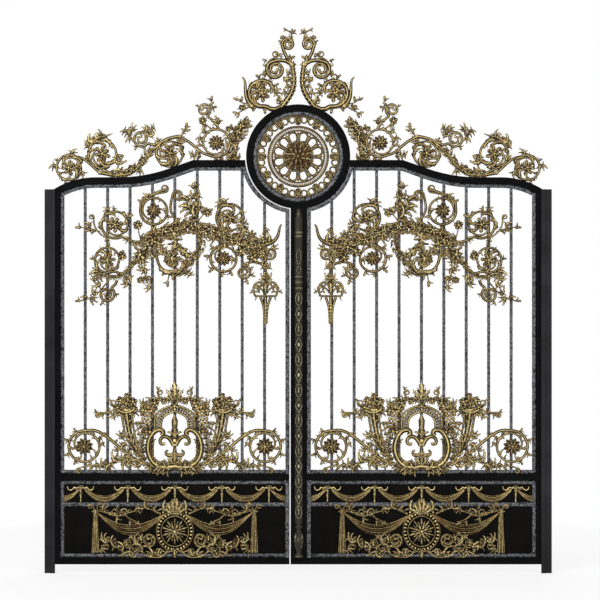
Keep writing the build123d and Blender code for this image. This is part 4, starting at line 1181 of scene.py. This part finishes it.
# ------------------------------------------------------------------ column on the mullion
def make_column():
    """Half-round column: foot, vase, banded shaft with a lattice, and a pointed head."""
    low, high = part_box("centre_column")
    radius = (high.x - low.x) / 2
    foot, top = low.z, high.z
    rings = [(foot + rise, share) for rise, share in (
        (0.0, 0.96), (0.012, 1.0), (0.02, 0.8), (0.036, 0.55), (0.05, 0.62), (0.09, 0.92), (0.13, 0.98),
        (0.17, 0.72), (0.2, 0.55), (0.21, 0.86), (0.222, 0.86), (0.23, 0.66), (0.25, 0.92), (0.258, 0.92),
        (0.262, 0.93),
    )] + [
        (2.010, 0.93), (2.012, 1.0), (2.030, 1.0), (2.034, 0.8), (2.045, 0.86), (2.065, 1.0), (2.085, 0.86),
        (2.092, 0.8), (2.098, 1.0), (2.108, 1.0), (2.112, 0.93), (2.38, 0.93), (2.384, 1.0), (2.398, 1.0),
        (2.402, 0.8), (2.41, 1.0), (2.424, 1.0), (2.428, 0.9), (2.49, 0.93), (2.53, 0.84), (2.56, 0.66),
        (2.585, 0.4), (top - 0.02, 0.2), (top, 0.05),
    ]
    points = []
    faces = []
    relief = []
    sides = 12
    for level, share in rings:
        for side in range(sides + 1):
            turn = pi * side / sides
            points.append((radius * share * cos(turn), level, radius * share * sin(turn)))
            relief.append(min(1.0, max(0.0, (share - 0.93) * 12)))
    row = sides + 1
    for level in range(len(rings) - 1):
        for side in range(sides):
            start = level * row + side
            faces.append((start, start + row, start + row + 1, start + 1))
    faces.append(tuple(range(row)))
    faces.append(tuple(reversed(range(len(points) - row, len(points)))))
    back = [level * row for level in range(len(rings))]
    faces.append(tuple(back) + tuple(level * row + sides for level in reversed(range(len(rings)))))
    work = Work("column")
    work.take(np.array(points), faces, np.array(relief), 0.2)

    def wrapped(places):
        """Flat places laid round the shaft."""
        shaft = radius * 0.93
        return [(x, y, sqrt(max(shaft**2 - x**2, 0.0)) - 0.001) for x, y in places]

    # lattice of ovals and lozenges
    lattice_foot = foot + 0.27
    lattice_run = 2.0 - lattice_foot
    count = round(lattice_run / 0.11)
    pitch = lattice_run / count
    for number in range(count):
        base = lattice_foot + number * pitch
        half = base + pitch / 2
        if number % 2:
            lozenge = [(0, base), (0.024, half), (0, base + pitch), (-0.024, half)]
            for start, end in zip(lozenge, lozenge[1:] + lozenge[:1]):
                middle = ((start[0] + end[0]) / 2, (start[1] + end[1]) / 2)
                work.bar(wrapped([start, middle, end]), 0.004, 0.75, "round")
            work.copy("berry", (0, half, radius * 0.9), 0, (0.009, 0.016, 0.006), 0.8)
        else:
            link = oval((0, half), 0.023, pitch * 0.42, 12)
            work.bar(wrapped(link), 0.004, 0.75, "round", closed=True)
            work.copy("husk", (0, base + 0.02, radius * 0.88), 90, (pitch * 0.6, 0.04, 0.015), 0.7)
    # faint oval and leaves of the upper shaft, vase and head
    for level, height in ((2.245, 0.11), (2.15, 0.05)):
        work.bar(wrapped(oval((0, level), 0.016, height / 2, 12)), 0.0028, 0.7, "round", closed=True)
    for side in (-1, 0, 1):
        for shape, level, share, turn, size in (
            ("acanthus", foot + 0.05, 0.62, 90 - side * 6, (0.12, 0.05, 0.02)),
            ("acanthus", 2.43, 0.7, 90 + side * 4, (0.13, 0.05, 0.02)),
            ("husk", 2.372, 0.66, -90, (0.05, 0.03, 0.015)),
        ):
            work.copy(shape, (side * 0.012, level, radius * share - abs(side) * 0.004), turn, size, 0.7)
    return work.arrays()


# ------------------------------------------------------------------ node helpers
def new_tree(name, inputs, outputs):
    """Empty node group with named sockets."""
    tree = bpy.data.node_groups.new(name, "ShaderNodeTree")
    for title, value in inputs:
        socket = tree.interface.new_socket(title, in_out="INPUT", socket_type="NodeSocketFloat")
        socket.default_value = value
    for title in outputs:
        tree.interface.new_socket(title, in_out="OUTPUT", socket_type="NodeSocketFloat")
    return tree, tree.nodes.new("NodeGroupInput").outputs, tree.nodes.new("NodeGroupOutput").inputs


def add_node(tree, kind, links=(), **settings):
    """A node with its settings and input values or links."""
    node = tree.nodes.new("ShaderNode" + kind)
    for title, value in settings.items():
        setattr(node, title, value)
    for title, value in dict(links).items():
        socket = node.inputs[title]
        if hasattr(value, "is_output"):
            tree.links.new(value, socket)
        else:
            socket.default_value = value
    return node


def maths(tree, operation, *values):
    """Result of a sum on numbers or links."""
    return add_node(tree, "Math", dict(enumerate(values)), operation=operation).outputs[0]


def ramp(tree, value, low, high, **settings):
    """0 below the low end, 1 above the high end, rising between them."""
    ends = {"Value": value, "From Min": low, "From Max": high}
    return add_node(tree, "MapRange", ends, clamp=True, **settings).outputs["Result"]


def blend_value(tree, share, first, second):
    """Number between two, by a share."""
    ends = {"Value": share, "To Min": first, "To Max": second}
    return add_node(tree, "MapRange", ends).outputs["Result"]


def mix_colour(tree, share, first, second):
    """Colour between two, by a share."""
    return add_node(tree, "Mix", {0: share, 6: first, 7: second}, data_type="RGBA").outputs[2]


def group_node(tree, group, **values):
    """A shared effect placed in a material."""
    return add_node(tree, "Group", values, node_tree=group).outputs


def bump(tree, height, strength, distance):
    """Small unevenness."""
    node = add_node(tree, "Bump", {"Height": height, "Strength": strength, "Distance": distance})
    return node.outputs["Normal"]


def linear(red, green, blue):
    """Shader colour of an ordinary 0 to 255 colour."""
    def one(level):
        level /= 255
        return level / 12.92 if level <= 0.04045 else ((level + 0.055) / 1.055) ** 2.4
    return (one(red), one(green), one(blue), 1.0)


def mottle_group():
    """Uneven patches and fine grain, for paint, patina and forged steel."""
    tree, start, end = new_tree(
        "mottle", (("Scale", 30.0), ("Low", 0.35), ("High", 0.65), ("Detail", 4.0)), ("Value", "Grain")
    )
    place = add_node(tree, "TexCoord").outputs["Object"]
    broad = {"Vector": place, "Scale": start["Scale"], "Detail": start["Detail"]}
    patches = add_node(tree, "TexNoise", broad)
    finer = maths(tree, "MULTIPLY", start["Scale"], 9.0)
    grain = add_node(tree, "TexNoise", {"Vector": place, "Scale": finer, "Detail": 2.0})
    tree.links.new(ramp(tree, patches.outputs["Fac"], start["Low"], start["High"]), end["Value"])
    tree.links.new(grain.outputs["Fac"], end["Grain"])
    return tree


def rub_and_shade_group():
    """How much of the gold rub a point has, partly real and partly painted light: high parts keep the rub and
    recesses lose it, while painted light falls on faces turned to the front or back and upwards, and painted
    shade on side walls and faces turned down.
    """
    tree, start, end = new_tree(
        "rub_and_shade", (("Relief", 0.5), ("Wear", 0.5), ("Low", 0.35), ("High", 0.8)), ("Mask",)
    )
    facing = add_node(tree, "SeparateXYZ", {0: add_node(tree, "TexCoord").outputs["Normal"]}).outputs
    # painted light and shade: faces turned to the front or back come out lighter than side walls, which get
    # painted shade, and faces turned up come out lighter than faces turned down, as if lit from above
    upper = maths(tree, "MULTIPLY", facing["Z"], 0.12)
    faced = maths(tree, "MULTIPLY_ADD", maths(tree, "ABSOLUTE", facing["Y"]), 0.4, upper)
    high = maths(tree, "MULTIPLY_ADD", start["Relief"], 0.6, faced)
    worn = maths(tree, "ADD", start["Wear"], -0.5)
    left = maths(tree, "MULTIPLY_ADD", worn, 0.22, high)
    rub_and_shade_mask = ramp(tree, left, start["Low"], start["High"], interpolation_type="SMOOTHSTEP")
    tree.links.new(rub_and_shade_mask, end["Mask"])
    return tree


MOTTLE = mottle_group()
RUB_AND_SHADE = rub_and_shade_group()


# ------------------------------------------------------------------ materials
def new_material(name, specular):
    """Material with its Principled shader."""
    material = bpy.data.materials.new(name)
    material.use_nodes = True
    tree = material.node_tree
    shader = tree.nodes["Principled BSDF"]
    shader.inputs["Specular IOR Level"].default_value = specular
    return material, tree, shader


def feed(tree, shader, **values):
    """Link each result to the shader's input of that name."""
    for title, value in values.items():
        tree.links.new(value, shader.inputs[title.replace("_", " ")])


def gilt(name, ground_and_shade, red, olive, light, low, high):
    """Gold paint rubbed over a dark ground: light on what stands up, dark in the recesses, with painted shade
    on side walls and painted light on faces turned to the front and upwards.
    """
    material, tree, shader = new_material(name, 0.2)
    relief = add_node(tree, "Attribute", attribute_name="relief").outputs["Fac"]
    tone = add_node(tree, "Attribute", attribute_name="tone").outputs["Fac"]
    patches = group_node(tree, MOTTLE, Scale=26.0, Low=0.3, High=0.7, Detail=3.0)["Value"]
    fine = group_node(tree, MOTTLE, Scale=90.0, Low=0.35, High=0.65, Detail=2.0)
    # the mask mixes the real rub on raised parts with painted light on faces turned front and up and painted
    # shade on side walls
    rub_and_shade = group_node(tree, RUB_AND_SHADE, Relief=relief, Wear=fine["Value"], Low=low, High=high)["Mask"]
    shade = ramp(tree, maths(tree, "MULTIPLY_ADD", patches, 0.34, tone), 0.25, 1.15)
    gold = mix_colour(tree, shade, mix_colour(tree, patches, red, olive), light)
    glow = mix_colour(tree, ramp(tree, rub_and_shade, 0.7, 1.0), mix_colour(tree, 0.6, gold, ground_and_shade), gold)
    feed(
        tree, shader,
        Base_Color=mix_colour(tree, rub_and_shade, ground_and_shade, glow),
        Metallic=blend_value(tree, rub_and_shade, 0.1, 0.6),
        Roughness=blend_value(tree, fine["Value"], 0.36, 0.52),
        Normal=bump(tree, fine["Grain"], 0.25, 0.002),
    )
    return material


def forged_steel():
    """Hammered bar: rubbed silver-grey on the humps over black."""
    material, tree, shader = new_material("hammered_steel", 0.5)
    relief = add_node(tree, "Attribute", attribute_name="relief").outputs["Fac"]
    fine = group_node(tree, MOTTLE, Scale=70.0, Low=0.35, High=0.65, Detail=3.0)
    rubbed = ramp(tree, maths(tree, "MULTIPLY_ADD", fine["Value"], 0.35, relief), 0.3, 1.2)
    feed(
        tree, shader,
        Base_Color=mix_colour(tree, rubbed, linear(15, 16, 18), linear(128, 130, 134)),
        Metallic=blend_value(tree, rubbed, 0.2, 0.6),
        Roughness=blend_value(tree, fine["Value"], 0.4, 0.55),
        Normal=bump(tree, fine["Grain"], 0.3, 0.002),
    )
    return material


def satin_paint(name, dark, light, roughness, scale, sheen):
    """Painted steel with a faint unevenness of brushing and dust."""
    material, tree, shader = new_material(name, sheen)
    cloud = group_node(tree, MOTTLE, Scale=scale, Low=0.3, High=0.7, Detail=5.0)["Value"]
    fine = group_node(tree, MOTTLE, Scale=160.0, Low=0.4, High=0.62, Detail=2.0)
    colour = mix_colour(tree, cloud, dark, light)
    dusty = mix_colour(tree, 0.02, colour, (0.2, 0.2, 0.2, 1))
    feed(
        tree, shader,
        Base_Color=mix_colour(tree, fine["Value"], colour, dusty),
        Roughness=blend_value(tree, cloud, roughness - 0.06, roughness + 0.08),
        Normal=bump(tree, fine["Grain"], 0.18, 0.0015),
    )
    return material


# the darkest colour of each gilt is the real dark ground in recesses and also painted shade on side walls
GOLD = gilt(
    "antique_gold", ground_and_shade=linear(14, 10, 5), red=linear(118, 70, 38), olive=linear(102, 84, 32),
    light=linear(252, 228, 158), low=0.47, high=0.92,
)
AGED = gilt(
    "aged_gilt", ground_and_shade=linear(46, 43, 34), red=linear(96, 84, 60), olive=linear(90, 86, 62),
    light=linear(206, 198, 164), low=0.42, high=0.95,
)
STEEL = forged_steel()
BLACK = satin_paint("satin_black", linear(4, 4, 4), linear(12, 12, 13), 0.42, 6.0, 0.03)
POST = satin_paint("post_paint", linear(18, 18, 20), linear(42, 42, 45), 0.5, 4.0, 0.14)
PANEL = satin_paint("panel_black", linear(4, 4, 3), linear(14, 12, 10), 0.48, 9.0, 0.03)

# ------------------------------------------------------------------ hammered bars and trims
GRAIN = 0.0072  # how fine the forged skin is
DENT_WIDTH = 0.013
DENT_DEPTH = 0.0034
DENT_REST = 0.62  # where between hump and dent the old surface lies
OVERRUN = 0.008  # so that the rounded ends of the bars still reach the rails

DENTS = bpy.data.textures.new("dents", "VORONOI")
DENTS.noise_scale = DENT_WIDTH
DENTS.distance_metric = "DISTANCE"
DENTS.weight_1 = 1.0


def read_points(mesh, what):
    """Places or normals of a mesh's points."""
    values = np.empty(len(mesh.vertices) * 3)
    mesh.vertices.foreach_get(what, values)
    return values.reshape(-1, 3)


def hammer(node):
    """The stock of a CAD node, forged over: dented all along, with the humps marked for rubbing."""
    stock = add_object(node + "_forged", frame["nodes"][node].data.copy())
    only(stock)
    bpy.ops.object.mode_set(mode="EDIT")
    bpy.ops.mesh.select_all(action="SELECT")
    bpy.ops.mesh.remove_doubles(threshold=0.00001)
    if "_bars" in node:
        low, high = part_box(node)
        longer = (1, 1, 1 + OVERRUN / (high.z - low.z))
        bpy.ops.transform.resize(value=longer, center_override=(low + high) / 2)
    bpy.ops.object.mode_set(mode="OBJECT")
    skin = stock.modifiers.new("skin", "REMESH")
    skin.mode = "VOXEL"
    skin.voxel_size = GRAIN
    apply_all(stock)
    before = read_points(stock.data, "co")
    normals = read_points(stock.data, "normal")
    dents = stock.modifiers.new("dents", "DISPLACE")
    dents.texture = DENTS
    dents.texture_coords = "LOCAL"
    dents.strength = -DENT_DEPTH
    dents.mid_level = DENT_REST
    apply_all(stock)
    push = ((read_points(stock.data, "co") - before) * normals).sum(axis=1)
    low, high = np.percentile(push, (3, 97))
    mark(stock.data, "relief", np.clip((push - low) / (high - low), 0, 1))
    stock.data.materials.clear()
    stock.data.materials.append(STEEL)
    bpy.ops.object.shade_smooth()
    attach(stock, frame["nodes"][node]["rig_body"])
    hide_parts(node)


for side in ("left", "right"):
    for part in ("bars", "cross_trims", "side_trims", "top_trim", "ring_arc", "meeting_bars"):
        hammer(f"{side}_{part}")
hammer("medallion_rim")

# ------------------------------------------------------------------ ornaments in their places
HANDS = ((-1, "left"), (1, "right"))
ORNAMENTS = (
    # name, arrays, how far out, height, face
    ("spray", make_spray(), MIDDLE_BAR, POST_HEAD, BAR_FACE),
    ("cartouche", make_cartouche(), MIDDLE_BAR, GRILLE_BOTTOM, BAR_FACE),
    ("swags", make_swags(), 0.0, 0.0, SHEET_FACE),
    ("drapery", make_drapery(), PANEL_MIDDLE, PANEL_FOOT, SHEET_FACE),
    ("crest", make_crest(), 0.0, RING_LEVEL, CREST_PLANE),
)
for part, arrays, out, height, face in ORNAMENTS:
    for hand, side in HANDS:
        stood = stand_up(arrays, (out, height), face, hand)
        make_piece(f"{side}_{part}_work", stood, f"{side}_leaf", f"{side}_{part}", GOLD)

crown = make_crown_half()
for hand, side in HANDS:
    stood = stand_up(crown, (0.0, RING_LEVEL), CREST_PLANE, hand)
    make_piece(f"crown_{side}_work", stood, "right_leaf", f"crown_{side}", GOLD)

WINDOW_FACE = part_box("rose_window")[0].y + 0.008
for part, arrays, face in (
    ("scroll_circle", make_scroll_circle(), WINDOW_FACE), ("rose_window", make_rose_window(), WINDOW_FACE),
    ("rosette", make_rosette(), WINDOW_FACE - 0.006),
):
    stood = stand_up(arrays, (0.0, RING_LEVEL), face, 1)
    make_piece(f"{part}_work", stood, "right_leaf", part, GOLD)
stood = stand_up(make_column(), (COLUMN_X - MIDDLE, 0.0), COLUMN_FACE, 1)
make_piece("column_work", stood, "right_leaf", "centre_column", AGED)

# ------------------------------------------------------------------ carried-over CAD nodes
for node, piece in frame["nodes"].items():
    if "post" in node or "stop_strip" in node:
        finish = POST
    elif "panel_sheets" in node:
        finish = PANEL
    else:
        finish = BLACK
    piece.data.materials.clear()
    piece.data.materials.append(finish)

# ------------------------------------------------------------------ floor, light and camera
WHITE = (1, 1, 1, 1)
VIEW_DISTANCE = 12.0
VIEW_WIDTH = 4.269
VIEW_LEVEL = 1.939
VIEW_SIDE = 0.013


def white_floor():
    """Pale floor that keeps a soft shadow near the gate and runs out into white."""
    bpy.ops.object.select_all(action="DESELECT")
    bpy.ops.mesh.primitive_plane_add(size=80, location=(MIDDLE, 0, 0))
    floor = bpy.context.object
    floor.name = "floor"
    material, tree, shader = new_material("pale_floor", 0.1)
    shader.inputs["Base Color"].default_value = (0.93, 0.93, 0.93, 1)
    shader.inputs["Roughness"].default_value = 0.9
    place = add_node(tree, "TexCoord").outputs["Object"]
    away = add_node(tree, "VectorMath", {0: place}, operation="LENGTH").outputs["Value"]
    pale = maths(tree, "MAXIMUM", ramp(tree, away, 1.9, 3.6), 0.8)
    path = add_node(tree, "LightPath").outputs
    seen = maths(tree, "MAXIMUM", path["Is Camera Ray"], path["Is Glossy Ray"])
    white = add_node(tree, "Emission", {"Color": WHITE, "Strength": 1.0}).outputs[0]
    share = maths(tree, "MULTIPLY", pale, seen)
    mixed = add_node(tree, "MixShader", {0: share, 1: shader.outputs[0], 2: white}).outputs[0]
    tree.links.new(mixed, tree.nodes["Material Output"].inputs["Surface"])
    floor.data.materials.append(material)


def white_world():
    """White all round to the camera and through clear things, plain soft light to the rest."""
    world = bpy.data.worlds.new("studio")
    bpy.context.scene.world = world
    world.use_nodes = True
    tree = world.node_tree
    tree.nodes.clear()
    path = add_node(tree, "LightPath").outputs
    seen = maths(tree, "MAXIMUM", path["Is Camera Ray"], path["Is Transmission Ray"])
    light = add_node(tree, "Background", {"Color": WHITE, "Strength": 0.62}).outputs[0]
    white = add_node(tree, "Background", {"Color": WHITE, "Strength": 1.0}).outputs[0]
    mixed = add_node(tree, "MixShader", {0: seen, 1: light, 2: white}).outputs[0]
    tree.links.new(mixed, add_node(tree, "OutputWorld").inputs["Surface"])


def soft_lamp(name, place, target, size, power):
    """Square area lamp that faces a place."""
    lamp = bpy.data.lights.new(name, "AREA")
    lamp.size = size
    lamp.energy = power
    holder = add_object(name, lamp)
    holder.location = place
    holder.rotation_mode = "QUATERNION"
    holder.rotation_quaternion = (Vector(target) - Vector(place)).to_track_quat("-Z", "Y")


white_floor()
white_world()
soft_lamp("key_light", (MIDDLE - 4.5, -7.0, 6.5), (MIDDLE, 0, 1.9), 4.0, 420)
soft_lamp("fill_light", (MIDDLE + 5.5, -7.5, 3.0), (MIDDLE, 0, 1.7), 5.0, 130)
soft_lamp("back_light", (MIDDLE + 3.0, 7.0, 6.0), (MIDDLE, 0, 1.9), 4.0, 160)

view = bpy.data.cameras.new("view")
view.sensor_width = 36.0
view.lens = view.sensor_width * VIEW_DISTANCE / VIEW_WIDTH
view.clip_end = 200
camera = add_object("camera", view)
camera.location = (MIDDLE + VIEW_SIDE, -VIEW_DISTANCE, VIEW_LEVEL)
camera.rotation_euler = (pi / 2, 0, 0)
bpy.context.scene.camera = camera
bpy.context.scene.view_settings.view_transform = "Standard"
